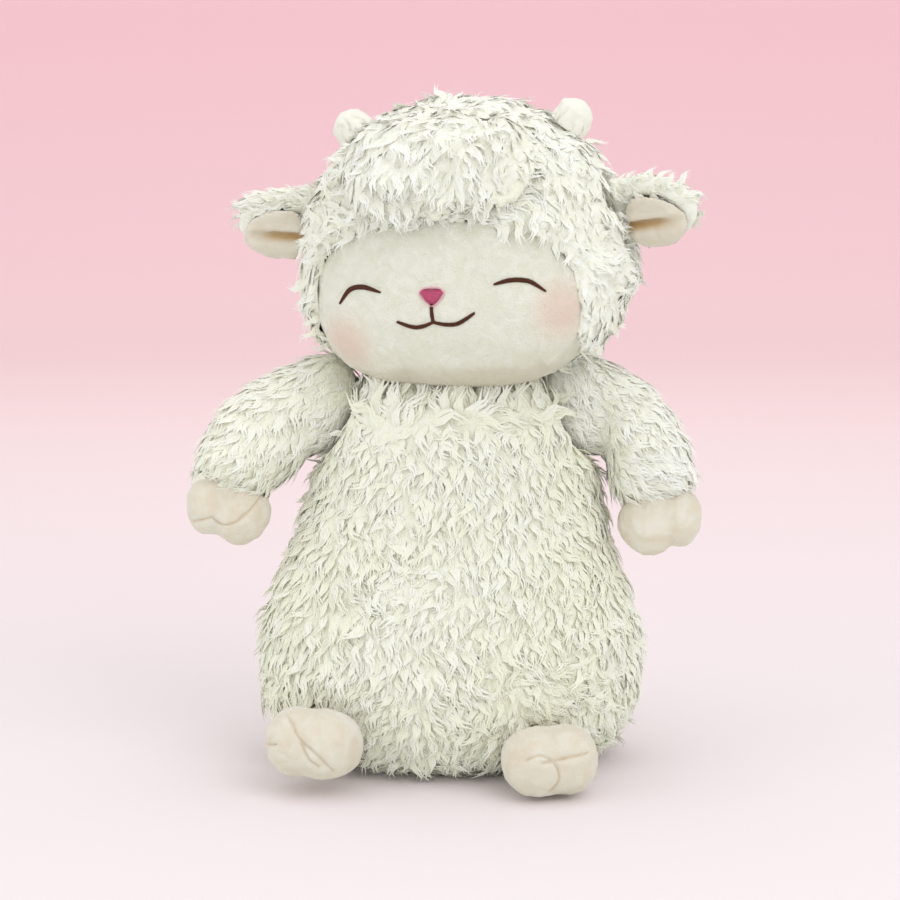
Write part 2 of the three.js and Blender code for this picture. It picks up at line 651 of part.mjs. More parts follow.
// A cloven hoof that points along +Z from its seam at the origin, with a neck that goes inwards.
// Its larger lobe lies on the given side of X.
function hoofForm(growth, size, detail) {
  const { halfWidth, halfDepth, length, large, small, point: narrowing, neck, neckDepth, side } = size;
  const lobes = [
    { middle: side * (halfWidth - large), half: large, reach: length },
    { middle: -side * (halfWidth - small), half: small, reach: length - LOBE_STEP },
  ];
  const forms = lobes.map(({ middle, half, reach }) => {
    const form = shapedBall(detail, (point) => {
      const width = half * (1 - narrowing * Math.max(0, point.z));
      squared(point, HOOF_SQUARENESS);
      point.multiply(new THREE.Vector3(width, halfDepth, reach / 2));
      point.x += middle;
      point.z += reach / 2;
    });
    return solid(grown(form, growth));
  });
  const front = HOOF_CORE + growth;
  const tube = new THREE.CylinderGeometry(neck + growth, neck + growth, front + neckDepth, detail.around);
  tube.rotateX(Math.PI / 2).translate(0, 0, (front - neckDepth) / 2);
  return wasm.Manifold.union([...forms, solid(tube)]);
}

// Arms, in a frame at the middle of the shoulder's ball
function armSpine(side) {
  const reach = side < 0 ? -LEFT_ARM_REACH : RIGHT_ARM_REACH;
  const drop = side < 0 ? LEFT_ARM_DROP : RIGHT_ARM_DROP;
  const end = new THREE.Vector3(reach, -ARM_FORWARD, -drop);
  const out = end.clone().multiply(new THREE.Vector3(0.55, 0.2, 0.12));
  const bend = end.clone().multiply(new THREE.Vector3(0.92, 0.7, 0.55));
  return new THREE.CubicBezierCurve3(new THREE.Vector3(), out, bend, end);
}

// A stuffed tube along a curve that swells from its root to its middle and closes in a round end.
function sleeveForm(side, growth, { around, rings }) {
  const spine = armSpine(side);
  const length = spine.getLength();
  const straight = rings - CUFF_STEPS.length - 1;
  const places = Array.from({ length: straight + 1 }, (_, ring) => (length * ring) / straight);
  places.push(...CUFF_STEPS.map((step) => length + step * CUFF_ROUND));
  const corners = [];
  const faces = [];
  const forwards = new THREE.Vector3(0, 1, 0);
  const root = new THREE.Vector3();
  corners.push(root.x, root.y, root.z);
  for (const along of places) {
    const inCuff = Math.max(0, (along - length) / CUFF_ROUND);
    const t = Math.min(along / length, 1);
    const tangent = spine.getTangentAt(t);
    const centre = spine.getPointAt(t).addScaledVector(tangent, inCuff * CUFF_ROUND);
    const swell = THREE.MathUtils.smoothstep(t, 0, 0.45);
    const taper = THREE.MathUtils.smoothstep(t, 0.6, 1);
    const full = ARM_ROOT_RADIUS + (ARM_RADIUS - ARM_ROOT_RADIUS) * swell;
    const radius = (full + (CUFF_RADIUS - ARM_RADIUS) * taper) * Math.sqrt(1 - inCuff ** 2);
    const u = new THREE.Vector3().crossVectors(forwards, tangent).normalize();
    const v = new THREE.Vector3().crossVectors(tangent, u).normalize();
    for (let i = 0; i < around; i += 1) {
      const angle = (2 * Math.PI * i) / around;
      const point = centre.clone().addScaledVector(u, radius * Math.cos(angle));
      point.addScaledVector(v, radius * Math.sin(angle));
      corners.push(point.x, point.y, point.z);
    }
  }
  const tip = spine.getPointAt(1).addScaledVector(spine.getTangentAt(1), CUFF_ROUND);
  corners.push(tip.x, tip.y, tip.z);
  const last = 1 + rings * around;
  for (let i = 0; i < around; i += 1) {
    const j = (i + 1) % around;
    faces.push(0, 1 + j, 1 + i);
    for (let ring = 0; ring + 1 < rings; ring += 1) {
      const a = 1 + ring * around;
      const b = a + around;
      faces.push(a + i, a + j, b + i, b + i, a + j, b + j);
    }
    faces.push(last, last - around + i, last - around + j);
  }
  const form = new THREE.BufferGeometry();
  form.setAttribute('position', new THREE.Float32BufferAttribute(corners, 3));
  form.setIndex(faces);
  return grown(form, growth);
}

// What the body's side sweeps out round the shoulder's axis: a collar that narrows outwards.
function shoulderCollar(side, growth) {
  const centre = shoulderCentre(side);
  const outline = [];
  const steps = 3;
  for (let step = 0; step <= steps; step += 1) {
    const height = THREE.MathUtils.lerp(centre.z - 1, CHEST_HEIGHT, step / steps);
    const x = bodyHalfWidth(height) + side * bodyShift(height).x - Math.abs(centre.x);
    const radius = Math.max(centre.z - height - SWING_GAP - growth, 0.5);
    outline.push(new THREE.Vector2(radius, x + SWING_GAP + growth));
  }
  const wide = 4 * BODY_HEIGHT;
  outline.push(new THREE.Vector2(wide, outline[steps].y));
  outline.push(new THREE.Vector2(wide, -wide));
  outline.push(new THREE.Vector2(outline[0].x, -wide));
  outline.push(outline[0].clone());
  return solid(new THREE.LatheGeometry(outline, 16).rotateZ(side * -Math.PI / 2));
}

function armPieces(side, names) {
  const group = new THREE.Group();
  group.position.copy(shoulderCentre(side));
  const wide = 4 * BODY_HEIGHT;
  const middle = new THREE.Vector3();
  const spine = armSpine(side);
  // The hoof's width lies in the plane of the picture, with its larger lobe towards the body.
  const down = spine.getTangentAt(1);
  const across = new THREE.Vector3(0, 1, 0).cross(down).normalize();
  const wrist = new THREE.Matrix4().makeBasis(across, down.clone().cross(across), down);
  wrist.setPosition(spine.getPointAt(1).addScaledVector(down, CUFF_ROUND - HAND_SINK));
  const hoofSize = {
    halfWidth: HAND_HALF_WIDTH,
    halfDepth: HAND_HALF_DEPTH,
    length: HAND_LENGTH,
    large: HAND_LARGE_LOBE,
    small: HAND_SMALL_LOBE,
    point: HAND_POINT,
    neck: WRIST_RADIUS,
    neckDepth: WRIST_DEPTH,
    side,
  };
  const hoof = (growth, extra, detail) => {
    const size = { ...hoofSize, neckDepth: WRIST_DEPTH + extra };
    return hoofForm(growth, size, detail).transform(wrist.elements);
  };
  // The tube stays clear of the body, the ball fills the body's socket.
  const tube = (growth, detail) => {
    const wall = growth < 0 ? ROOT_WALL - growth - FLEECE : 0;
    const root = rootBall(ARM_ROOT_RADIUS + growth, middle, 'x', growth < 0 ? 10 : 14);
    return solid(sleeveForm(side, growth, detail)).subtract(shoulderCollar(side, wall)).add(root);
  };
  const skin = tube(0, LIMB).subtract(tube(-FLEECE, LIMB_INNER));
  const hoofSkin = hoof(0, 0, LOBE).subtract(hoof(-MINKY, 1, LOBE_INNER));
  const beyond = block(wide, wide, wide, 0, 0, wide / 2 - WRIST_DEPTH - FILL_GAP).transform(wrist.elements);
  const fill = tube(-FLEECE - FILL_GAP, LIMB_INNER).subtract(beyond);
  const fillHoof = hoof(-MINKY - FILL_GAP, CUFF_ROUND / 2, LOBE_INNER);
  group.add(piece(names.sleeve, skin.subtract(hoof(SEAM_GAP, CUFF_ROUND / 2, LOBE)), IVORY_FLEECE));
  group.add(piece(names.hoof, hoofSkin, HOOF_PILE));
  group.add(piece(names.stuffing, fill.add(fillHoof), FIBRE));
  return group;
}

// Feet, in a frame at the middle of the ankle's ball; the toes point along -Y
function footPieces(side, names) {
  const group = new THREE.Group();
  const centre = footCentre(side);
  group.position.copy(centre);
  group.updateMatrix();
  const toFoot = group.matrix.clone().invert();
  const size = {
    halfWidth: FOOT_HALF_WIDTH,
    halfDepth: FOOT_HALF_HEIGHT,
    length: FOOT_LENGTH,
    large: FOOT_LARGE_LOBE,
    small: FOOT_SMALL_LOBE,
    point: 0,
    neck: ANKLE_NECK,
    neckDepth: FOOT_SINK,
    side: -side,
  };
  const splay = radians(side * FOOT_SPLAY);
  const place = new THREE.Matrix4().makeRotationZ(splay);
  place.multiply(new THREE.Matrix4().makeTranslation(0, -FOOT_SINK, 0));
  place.multiply(new THREE.Matrix4().makeRotationX(Math.PI / 2));
  const foot = (growth, detail) => hoofForm(growth, size, detail).transform(place.elements);
  const middle = new THREE.Vector3();
  // The body as the foot meets it at every angle of its swing.
  const swing = (growth) => {
    return sweptForm(bodyForm(SWING_GAP + growth).applyMatrix4(toFoot), 'x', [0, FOOT_SWING]);
  };
  const whole = (growth, detail) => {
    const wall = growth < 0 ? -growth : 0;
    const root = rootBall(ANKLE_RADIUS + growth, middle, 'x', growth < 0 ? 10 : 12);
    return foot(growth, detail).subtract(swing(wall)).add(root);
  };
  const skin = whole(0, LOBE).subtract(whole(-MINKY, LOBE_INNER));
  const fill = whole(-MINKY - FILL_GAP, LOBE_INNER);
  const opening = block(ANKLE_RADIUS, 2 * ANKLE_RADIUS, ANKLE_RADIUS, 0, ANKLE_RADIUS, 0);
  group.add(piece(names.hoof, skin.subtract(opening), HOOF_PILE));
  group.add(piece(names.stuffing, fill, FIBRE));
  return group;
}

function tailPieces() {
  const group = new THREE.Group();
  group.position.copy(tailCentre);
  group.updateMatrix();
  const meets = bodyForm(SWING_GAP).applyMatrix4(group.matrix.clone().invert());
  const body = sweptForm(meets, 'z', [-TAIL_SWING, 0, TAIL_SWING]);
  const outline = smoothOutline([
    [0, 0],
    [TAIL_ROOT_RADIUS * 0.9, 2],
    [TAIL_RADIUS, TAIL_LENGTH * 0.6],
    [0, TAIL_LENGTH],
  ], 8);
  const droop = turned(outline, 12).rotateX(radians(-125));
  const form = solid(droop).subtract(body).add(rootBall(TAIL_ROOT_RADIUS, new THREE.Vector3(), 'z', 10));
  group.add(piece('tail', form, IVORY_FLEECE));
  return group;
}

const lamb = new THREE.Group();
lamb.add(...bodyPieces());
lamb.add(neckPieces());
lamb.add(headPieces());
lamb.add(armPieces(-1, { sleeve: 'arm_left_sleeve', hoof: 'arm_left_hoof', stuffing: 'arm_left_stuffing' }));
lamb.add(armPieces(1, { sleeve: 'arm_right_sleeve', hoof: 'arm_right_hoof', stuffing: 'arm_right_stuffing' }));
lamb.add(footPieces(-1, { hoof: 'foot_left_hoof', stuffing: 'foot_left_stuffing' }));
lamb.add(footPieces(1, { hoof: 'foot_right_hoof', stuffing: 'foot_right_stuffing' }));
lamb.add(tailPieces());

export default lamb;
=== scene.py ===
"""A plush lamb in curly fleece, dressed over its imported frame.

Every soft piece is grown from the solids of the frame, so it stays where they are. Lengths are in metres.
"""

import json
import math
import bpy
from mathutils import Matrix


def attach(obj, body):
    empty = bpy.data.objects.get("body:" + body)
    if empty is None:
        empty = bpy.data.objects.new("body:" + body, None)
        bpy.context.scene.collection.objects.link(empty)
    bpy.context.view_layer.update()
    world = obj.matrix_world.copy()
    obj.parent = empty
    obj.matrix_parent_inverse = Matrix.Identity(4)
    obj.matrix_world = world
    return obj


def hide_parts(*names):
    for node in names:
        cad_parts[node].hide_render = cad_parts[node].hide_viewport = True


bl_info = {
    "name": "Plush Lamb",
    "version": (1, 0, 0),
    "blender": (4, 5, 0),
    "location": "3D View > Sidebar > Lamb",
    "description": "Makes a plush lamb with curly fleece, a smooth face and cloven hooves",
    "category": "Add Mesh",
}

import bmesh
import bpy
import numpy as np
from bpy.props import FloatProperty, FloatVectorProperty, IntProperty, PointerProperty
from mathutils import Matrix, Vector, noise
from mathutils.bvhtree import BVHTree
from mathutils.kdtree import KDTree

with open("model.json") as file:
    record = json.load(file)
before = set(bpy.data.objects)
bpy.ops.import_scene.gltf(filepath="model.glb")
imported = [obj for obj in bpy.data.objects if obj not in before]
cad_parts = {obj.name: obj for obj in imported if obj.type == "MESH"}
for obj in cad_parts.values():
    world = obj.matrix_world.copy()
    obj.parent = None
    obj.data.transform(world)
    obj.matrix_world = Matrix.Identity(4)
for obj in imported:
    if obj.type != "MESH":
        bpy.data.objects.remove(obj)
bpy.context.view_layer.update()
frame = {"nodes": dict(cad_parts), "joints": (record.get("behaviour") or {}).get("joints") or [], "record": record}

# Without a seed noise_vector starts from the clock and the locks lie differently in each run.
NOISE_SEED = 7
noise.seed_set(NOISE_SEED)

DOWN = Vector((0, 0, -1))
GROUND = 0.0003
HEAD_TURN = math.radians(-16.5)
HEAD_ROLL = math.radians(-3)
EAR_SWEEP = math.radians(12)
EAR_TILT = math.radians(24)
CLOTH_THICKNESS = 0.0015
FACE_THICKNESS = 0.002
MOUND_HEIGHT = 0.0012
BARE_CLOTH_TONE = 0.3

# The middle of the head in the head's own frame
HEAD_MIDDLE = Vector((0.011, -0.005, 0.071))
COLLAR_RADIUS = 0.055
COLLAR_REACH = 0.042
CHIN_DROP = 0.006
NOSE_SHIFT = -0.001
THREAD_WIDTH = 0.00062
THREAD_HEIGHT = 0.0014
STITCH_PITCH = 0.00042
# Colours of painted shade: in the creases of short pile, under the chin and in the face's wrinkles
PILE_FOLD_SHADE_COLOUR = (0.55, 0.36, 0.16)
CHIN_SHADE_COLOUR = (0.58, 0.50, 0.33)
WRINKLE_SHADE_COLOUR = (0.60, 0.54, 0.42)

TORSO_NODES = ["body_front", "body_back_left", "body_back_right", "seat_panel"]
TORSO_NODES += ["body_stuffing", "pellet_pouch"]
HEAD_NODES = ["hood_left", "hood_right", "face_panel", "head_stuffing"]

# Each joint of the torso and the ball about it that the torso's cloth leaves open
TORSO_OPENINGS = {
    "head_turn": 0.030,
    "arm_left_swing": 0.027,
    "arm_right_swing": 0.027,
    "foot_left_tip": 0.016,
    "foot_right_tip": 0.016,
    "tail_wag": 0.010,
}

# The six kinds of lock: phase of the wave, its strength, lift off the cloth and droop of the tip
LOCK_SHAPES = [
    (0.0, 0.08, 0.100, 0.04),
    (1.1, 0.13, 0.140, 0.10),
    (2.3, 0.09, 0.080, -0.03),
    (3.4, 0.14, 0.125, 0.05),
    (4.4, 0.07, 0.160, 0.11),
    (5.3, 0.12, 0.090, 0.00),
]

# Swells of the face: height, middle across and up, and widths
FACE_SWELLS = [
    (0.0028, -0.052, -0.030, 0.024, 0.022),
    (0.0030, 0.054, -0.026, 0.024, 0.024),
    (0.0022, 0.0, -0.026, 0.020, 0.016),
    (-0.0016, -0.022, -0.050, 0.006, 0.014),
    (-0.0014, 0.030, -0.052, 0.007, 0.012),
]
# Folds below the fringe: middle, lean and depth
FACE_FOLDS = [(0.006, 0.15, 0.0010), (0.020, -0.2, 0.0012), (-0.014, 0.1, 0.0008), (0.040, -0.3, 0.0009)]
# Blush on the cheeks: middle across and up, and radius
CHEEKS = [(-0.055, -0.037, 0.024), (0.070, -0.022, 0.026)]

# Seams seen on the front of each hoof, as corners across and up from its middle
HOOF_SEAMS = {
    "arm_left_hoof": [
        [(-0.021, -0.010), (-0.0155, -0.0086), (-0.008, -0.0063)],
        [(-0.008, -0.0063), (-0.003, -0.0104), (0.0046, -0.0092), (0.0132, -0.0023), (0.021, 0.0075)],
    ],
    "arm_right_hoof": [
        [(-0.021, 0.0035), (-0.0178, -0.004), (-0.0103, -0.0086), (-0.0017, -0.0069)]
        + [(0.0063, -0.0012), (0.008, 0.0046)],
        [(0.010, -0.002), (0.016, -0.008), (0.022, -0.009)],
    ],
    "foot_left_hoof": [
        [(-0.021, 0.022), (-0.012, 0.015), (-0.0075, 0.0075), (0.003, -0.001), (0.011, -0.010)],
        [(-0.0063, 0.0046), (-0.0017, -0.0035), (0.004, -0.0075)],
        [(-0.026, 0.001), (-0.020, 0.003)],
    ],
    "foot_right_hoof": [
        [(-0.013, 0.006), (-0.006, 0.0085), (0.001, 0.005), (0.0046, -0.003)]
        + [(0.0025, -0.0095), (-0.001, -0.0138)],
        [(-0.0046, 0.0046), (0.0057, 0.0057), (0.0207, 0.0075)],
    ],
}

# Stitched lines on the face, as corners across and up from its middle
EYE_LINES = {
    "eye_left": [(-0.0564, -0.0144), (-0.0500, -0.0070), (-0.0410, -0.0055), (-0.0304, -0.0084)],
    "eye_right": [(0.0332, -0.0056), (0.0420, -0.0038), (0.0515, -0.0050), (0.0596, -0.0108)],
}
MOUTH_STEM = [(-0.0015, -0.0155), (-0.0015, -0.0200), (-0.0012, -0.0248)]
SMILES = [
    [(-0.0012, -0.0250), (-0.0070, -0.0270), (-0.0130, -0.0273), (-0.0220, -0.0242)],
    [(-0.0012, -0.0250), (0.0060, -0.0264), (0.0130, -0.0258), (0.0222, -0.0205)],
]
NOSE_EDGE = [(0.0, -0.0062), (-0.0046, -0.0068), (-0.0070, -0.0092), (-0.0050, -0.0128), (0.0, -0.0163)]

# Square lamps: name, place, side and watts; they look at the lamb's middle
LAMPS = [
    ("key", (1.0, -1.25, 1.5), 1.4, 8.8),
    ("fill", (-1.7, -0.9, 0.8), 1.6, 5.2),
    ("top", (0, 0.2, 2.0), 1.4, 5.4),
]
LAMP_AIM = Vector((0, 0, 0.2))


# Settings


def length_setting(name, description, default, **more):
    return FloatProperty(name=name, description=description, default=default, unit="LENGTH", **more)


def colour_setting(name, description, *default):
    return FloatVectorProperty(
        name=name, description=description, default=default, subtype="COLOR", min=0, max=1
    )


class FleeceSettings(bpy.types.PropertyGroup):
    lock_length: length_setting("Lock length", "Length of one curly lock", 0.0150)
    lock_width: length_setting("Lock width", "Width of one lock at its root", 0.0034)
    spacing: length_setting("Spacing", "Least distance between two locks", 0.0039)
    back_spacing: length_setting("Spacing at the back", "Least distance between two locks behind", 0.0046)
    root_depth: length_setting("Root depth", "Depth of the backing under the pile", 0.0025)
    # The root colour is a painted shade deep in the pile; the low cloth between the mounds takes it too.
    root_shade_colour: colour_setting("Root colour", "Colour deep in the pile", 0.955, 0.935, 0.820)
    tip_colour: colour_setting("Tip colour", "Colour of the lock tips", 0.978, 0.976, 0.940)


class ClothSettings(bpy.types.PropertyGroup):
    face_colour: colour_setting("Face", "Colour of the face", 0.925, 0.905, 0.815)
    blush_colour: colour_setting("Blush", "Colour of the cheeks", 0.84, 0.56, 0.47)
    hoof_colour: colour_setting("Hooves", "Colour of the hooves", 0.83, 0.775, 0.685)
    lining_colour: colour_setting("Ear lining", "Colour inside the ears", 0.82, 0.755, 0.66)
    horn_colour: colour_setting("Horns", "Colour of the horns", 0.74, 0.72, 0.58)
    brown_thread: colour_setting("Brown thread", "Thread of the eyes and the mouth", 0.050, 0.012, 0.006)
    pink_thread: colour_setting("Pink thread", "Thread of the nose", 0.50, 0.05, 0.14)


class StageSettings(bpy.types.PropertyGroup):
    elevation: FloatProperty(
        name="Elevation",
        description="How far the camera looks down",
        default=math.radians(9),
        subtype="ANGLE",
        unit="ROTATION",
    )
    distance: length_setting("Distance", "From the camera to the lamb", 1.35)
    aim_height: length_setting("Aim height", "Height that the camera looks at", 0.179)
    pixel_size: length_setting("Pixel size", "Width of a pixel at the lamb", 0.000575, precision=6)
    picture_width: IntProperty(
        name="Picture width", description="Width of the picture", default=900, subtype="PIXEL"
    )
    floor_colour: colour_setting("Floor", "Colour of the floor", 0.935, 0.845, 0.88)
    wall_colour: colour_setting("Wall", "Colour of the backdrop", 0.92, 0.66, 0.74)


# Shapes in numbers


def ramp(value, low, high):
    """0 up to low, 1 from high on, and straight between them."""
    return min(max((value - low) / (high - low), 0.0), 1.0)


def bell(value, width):
    """1 at 0, and falling away to both sides over the width."""
    return math.exp(-((value / width) ** 2))


def ruffled(place, scale, strength, shift=0.0):
    """A direction that changes slowly from place to place."""
    return noise.noise_vector(place * scale + Vector((shift, shift, shift))) * strength


def shade_at(place, base, depth=0.45):
    """A tone from 0 to 1 that varies softly about the base."""
    return ramp(base + depth * noise.noise(place * 14.0 + Vector((3.0, 0, 0))), 0.0, 1.0)


# Meshes from the frame


def linked(name, mesh):
    piece = bpy.data.objects.new(name, mesh)
    bpy.context.scene.collection.objects.link(piece)
    return piece


def removed(piece):
    mesh = piece.data
    bpy.data.objects.remove(piece)
    bpy.data.meshes.remove(mesh)


def applied(piece):
    """Replaces the piece's mesh by the plain mesh that its modifiers make of it."""
    depsgraph = bpy.context.evaluated_depsgraph_get()
    mesh = bpy.data.meshes.new_from_object(piece.evaluated_get(depsgraph), depsgraph=depsgraph)
    old = piece.data
    piece.modifiers.clear()
    piece.data = mesh
    bpy.data.meshes.remove(old)
    return piece


def shaped(piece, kind, **settings):
    """Runs one modifier on a piece and applies it."""
    modifier = piece.modifiers.new(kind.title(), kind)
    for key, value in settings.items():
        setattr(modifier, key, value)
    return applied(piece)


def smooth_shaded(piece):
    piece.data.polygons.foreach_set("use_smooth", [True] * len(piece.data.polygons))
    return piece


def give_attribute(piece, name, values, kind="FLOAT"):
    """Gives every point of a piece a value, or a vector, under a name."""
    data = piece.data.attributes.new(name, kind, "POINT").data
    data.foreach_set("vector" if kind == "FLOAT_VECTOR" else "value", values)


def drop_attributes(piece, *names):
    attributes = piece.data.attributes
    for name in names:
        if name in attributes:
            attributes.remove(attributes[name])


def outward_mesh(name, points, faces, uvs=None):
    """A mesh whose faces all point outwards; uvs holds one pair for each corner of each face."""
    mesh = bpy.data.meshes.new(name)
    mesh.from_pydata(points, [], faces)
    if uvs:
        flat = [value for face in uvs for pair in face for value in pair]
        mesh.uv_layers.new(name="OFBake").data.foreach_set("uv", flat)
    shape = bmesh.new()
    shape.from_mesh(mesh)
    bmesh.ops.recalc_face_normals(shape, faces=shape.faces)
    shape.to_mesh(mesh)
    shape.free()
    return mesh


def node_copy(names):
    """One mesh that holds copies of some nodes, with their loose triangles joined."""
    joined = bmesh.new()
    for name in names:
        joined.from_mesh(frame["nodes"][name].data)
    bmesh.ops.remove_doubles(joined, verts=joined.verts, dist=1e-6)
    mesh = bpy.data.meshes.new("copy")
    joined.to_mesh(mesh)
    joined.free()
    return linked("copy", mesh)


def keep_largest(piece):
    """Drops the inner shells that the voxels leave where two solids nearly touch."""
    shape = bmesh.new()
    shape.from_mesh(piece.data)
    unseen = set(shape.verts)
    largest = []
    while unseen:
        group = [unseen.pop()]
        for vert in group:
            for edge in vert.link_edges:
                other = edge.other_vert(vert)
                if other in unseen:
                    unseen.remove(other)
                    group.append(other)
        if len(group) > len(largest):
            largest = group
    kept = set(largest)
    bmesh.ops.delete(shape, geom=[vert for vert in shape.verts if vert not in kept], context="VERTS")
    bmesh.ops.recalc_face_normals(shape, faces=shape.faces)
    shape.to_mesh(piece.data)
    shape.free()


def solid_of(names, voxel, smooth=6):
    """The smoothed outside of some nodes taken together."""
    piece = shaped(node_copy(names), "REMESH", mode="VOXEL", voxel_size=voxel)
    keep_largest(piece)
    return shaped(piece, "SMOOTH", factor=0.5, iterations=smooth)


def surface_tree(mesh):
    points = [vert.co for vert in mesh.vertices]
    return BVHTree.FromPolygons(points, [tuple(face.vertices) for face in mesh.polygons])


def part_of(solid, wanted, others, away_from=(), closed=False):
    """The faces of a solid that lie nearest to the wanted node, as a new piece.

    away_from holds (centre, radius) pairs: faces inside these balls are left out.
    """
    trees = {name: surface_tree(frame["nodes"][name].data) for name in (wanted, *others)}
    shape = bmesh.new()
    shape.from_mesh(solid.data)
    gone = []
    for face in shape.faces:
        centre = face.calc_center_median()
        distances = {name: tree.find_nearest(centre)[3] for name, tree in trees.items()}
        inside = any((centre - middle).length < radius for middle, radius in away_from)
        if min(distances, key=distances.get) != wanted or inside:
            gone.append(face)
    bmesh.ops.delete(shape, geom=gone, context="FACES")
    if closed:
        edges = [edge for edge in shape.edges if edge.is_boundary]
        bmesh.ops.holes_fill(shape, edges=edges, sides=0)
        bmesh.ops.triangulate(shape, faces=[face for face in shape.faces if len(face.verts) > 4])
        bmesh.ops.recalc_face_normals(shape, faces=shape.faces)
    mesh = bpy.data.meshes.new("part")
    shape.to_mesh(mesh)
    shape.free()
    return linked("part", mesh)


def joint_place(name):
    joint = next(joint for joint in frame["joints"] if joint["name"] == name)
    return Vector(joint["pos_m"])


def moved(piece, rule):
    """Moves every point of a piece by a rule of its place and its normal."""
    mesh = piece.data
    places = [(vert.co.copy(), vert.normal.copy()) for vert in mesh.vertices]
    for vert, (place, normal) in zip(mesh.vertices, places):
        vert.co = rule(place, normal)
    mesh.update()
    return piece


def creased(piece, rule):
    """Moves every point by a rule that also returns how deep in a crease the point lies, from 0 to 1, and keeps it
    as the amount of painted shade there.
    """
    fold_shades = []

    def move(place, normal):
        place, fold_shade = rule(place, normal)
        fold_shades.append(fold_shade)
        return place

    moved(piece, move)
    give_attribute(piece, "fold_shade", fold_shades)
    return piece


def finished(piece, name, body, replaced, material=None, smooth=True):
    """Names a piece, gives it its material, hangs it on its body and hides the node that it replaces."""
    piece.name = name
    piece.data.name = name
    if material is not None:
        piece.data.materials.clear()
        piece.data.materials.append(material)
    if smooth:
        smooth_shaded(piece)
    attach(piece, body)
    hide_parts(replaced)
    return piece


# Node trees


def put(tree, socket, value):
    """Links a socket to an output, or sets its value."""
    if isinstance(value, bpy.types.NodeSocket):
        tree.links.new(value, socket)
    elif socket.type == "RGBA":
        socket.default_value = (*value, 1.0)
    else:
        socket.default_value = value


def add_node(tree, kind, inputs=None, **properties):
    """A node with its settings; inputs maps an input's name or number to a value or an output socket."""
    node = tree.nodes.new(kind)
    for key, value in properties.items():
        setattr(node, key, value)
    for key, value in (inputs or {}).items():
        put(tree, node.inputs[key], value)
    return node


def maths(tree, operation, first, second=None, clamp=False):
    inputs = {0: first} if second is None else {0: first, 1: second}
    return add_node(tree, "ShaderNodeMath", inputs, operation=operation, use_clamp=clamp).outputs[0]


def vector_of(tree, *parts):
    return add_node(tree, "ShaderNodeCombineXYZ", dict(enumerate(parts))).outputs[0]


def mapped(tree, value, low, high, start=0.0, end=1.0, kind="LINEAR"):
    """A value from low to high, turned into one from start to end."""
    inputs = {"Value": value, "From Min": low, "From Max": high, "To Min": start, "To Max": end}
    return add_node(tree, "ShaderNodeMapRange", inputs, interpolation_type=kind).outputs[0]


def mixed(tree, factor, dark, light):
    """A colour between two colours, each a tuple or an output socket."""
    inputs = {0: factor, 6: dark, 7: light}
    return add_node(tree, "ShaderNodeMix", inputs, data_type="RGBA", blend_type="MIX").outputs[2]


def grain(tree, place, scale, detail, distortion=0.0):
    inputs = {"Vector": place, "Scale": scale, "Detail": detail, "Distortion": distortion}
    return add_node(tree, "ShaderNodeTexNoise", inputs).outputs[0]


def object_place(tree):
    return add_node(tree, "ShaderNodeTexCoord").outputs["Object"]


def bumps(tree, height, strength, distance):
    inputs = {"Height": height, "Strength": strength, "Distance": distance}
    return add_node(tree, "ShaderNodeBump", inputs).outputs[0]


def new_tree(name, inputs):
    """A geometry node tree with a Geometry socket each way and these named inputs."""
    tree = bpy.data.node_groups.new(name, "GeometryNodeTree")
    tree.interface.new_socket("Geometry", in_out="OUTPUT", socket_type="NodeSocketGeometry")
    tree.interface.new_socket("Geometry", in_out="INPUT", socket_type="NodeSocketGeometry")
    for label, kind, default in inputs:
        socket = tree.interface.new_socket(label, in_out="INPUT", socket_type=f"NodeSocket{kind}")
        if default is not None:
            socket.default_value = default
    return tree, tree.nodes.new("NodeGroupInput").outputs


def read_attribute(tree, name, kind="FLOAT"):
    node = add_node(tree, "GeometryNodeInputNamedAttribute", {"Name": name}, data_type=kind)
    return node.outputs["Attribute"]


def standing(tree, normal, lie):
    """A rotation whose Z is the normal and whose X points along the lie as far as it can."""
    upright = add_node(
        tree, "FunctionNodeAlignRotationToVector", {"Vector": normal}, axis="Z", pivot_axis="AUTO"
    )
    inputs = {"Rotation": upright.outputs[0], "Vector": lie}
    turned = add_node(tree, "FunctionNodeAlignRotationToVector", inputs, axis="X", pivot_axis="Z")
    return turned.outputs[0]


def end_tree(tree, geometry, material):
    """Makes the instances real, gives them their material and closes the tree."""
    real = add_node(tree, "GeometryNodeRealizeInstances", {0: geometry})
    dressed = add_node(tree, "GeometryNodeSetMaterial", {0: real.outputs[0], "Material": material})
    add_node(tree, "NodeGroupOutput", {0: dressed.outputs[0]})
    return tree


def with_nodes(piece, tree, values):
    """Runs a geometry node tree on a piece and keeps the result as its plain mesh."""
    modifier = piece.modifiers.new(tree.name, "NODES")
    modifier.node_group = tree
    for item in tree.interface.items_tree:
        if item.item_type == "SOCKET" and item.in_out == "INPUT" and item.name in values:
            modifier[item.identifier] = values[item.name]
    return applied(piece)


# Locks of fleece


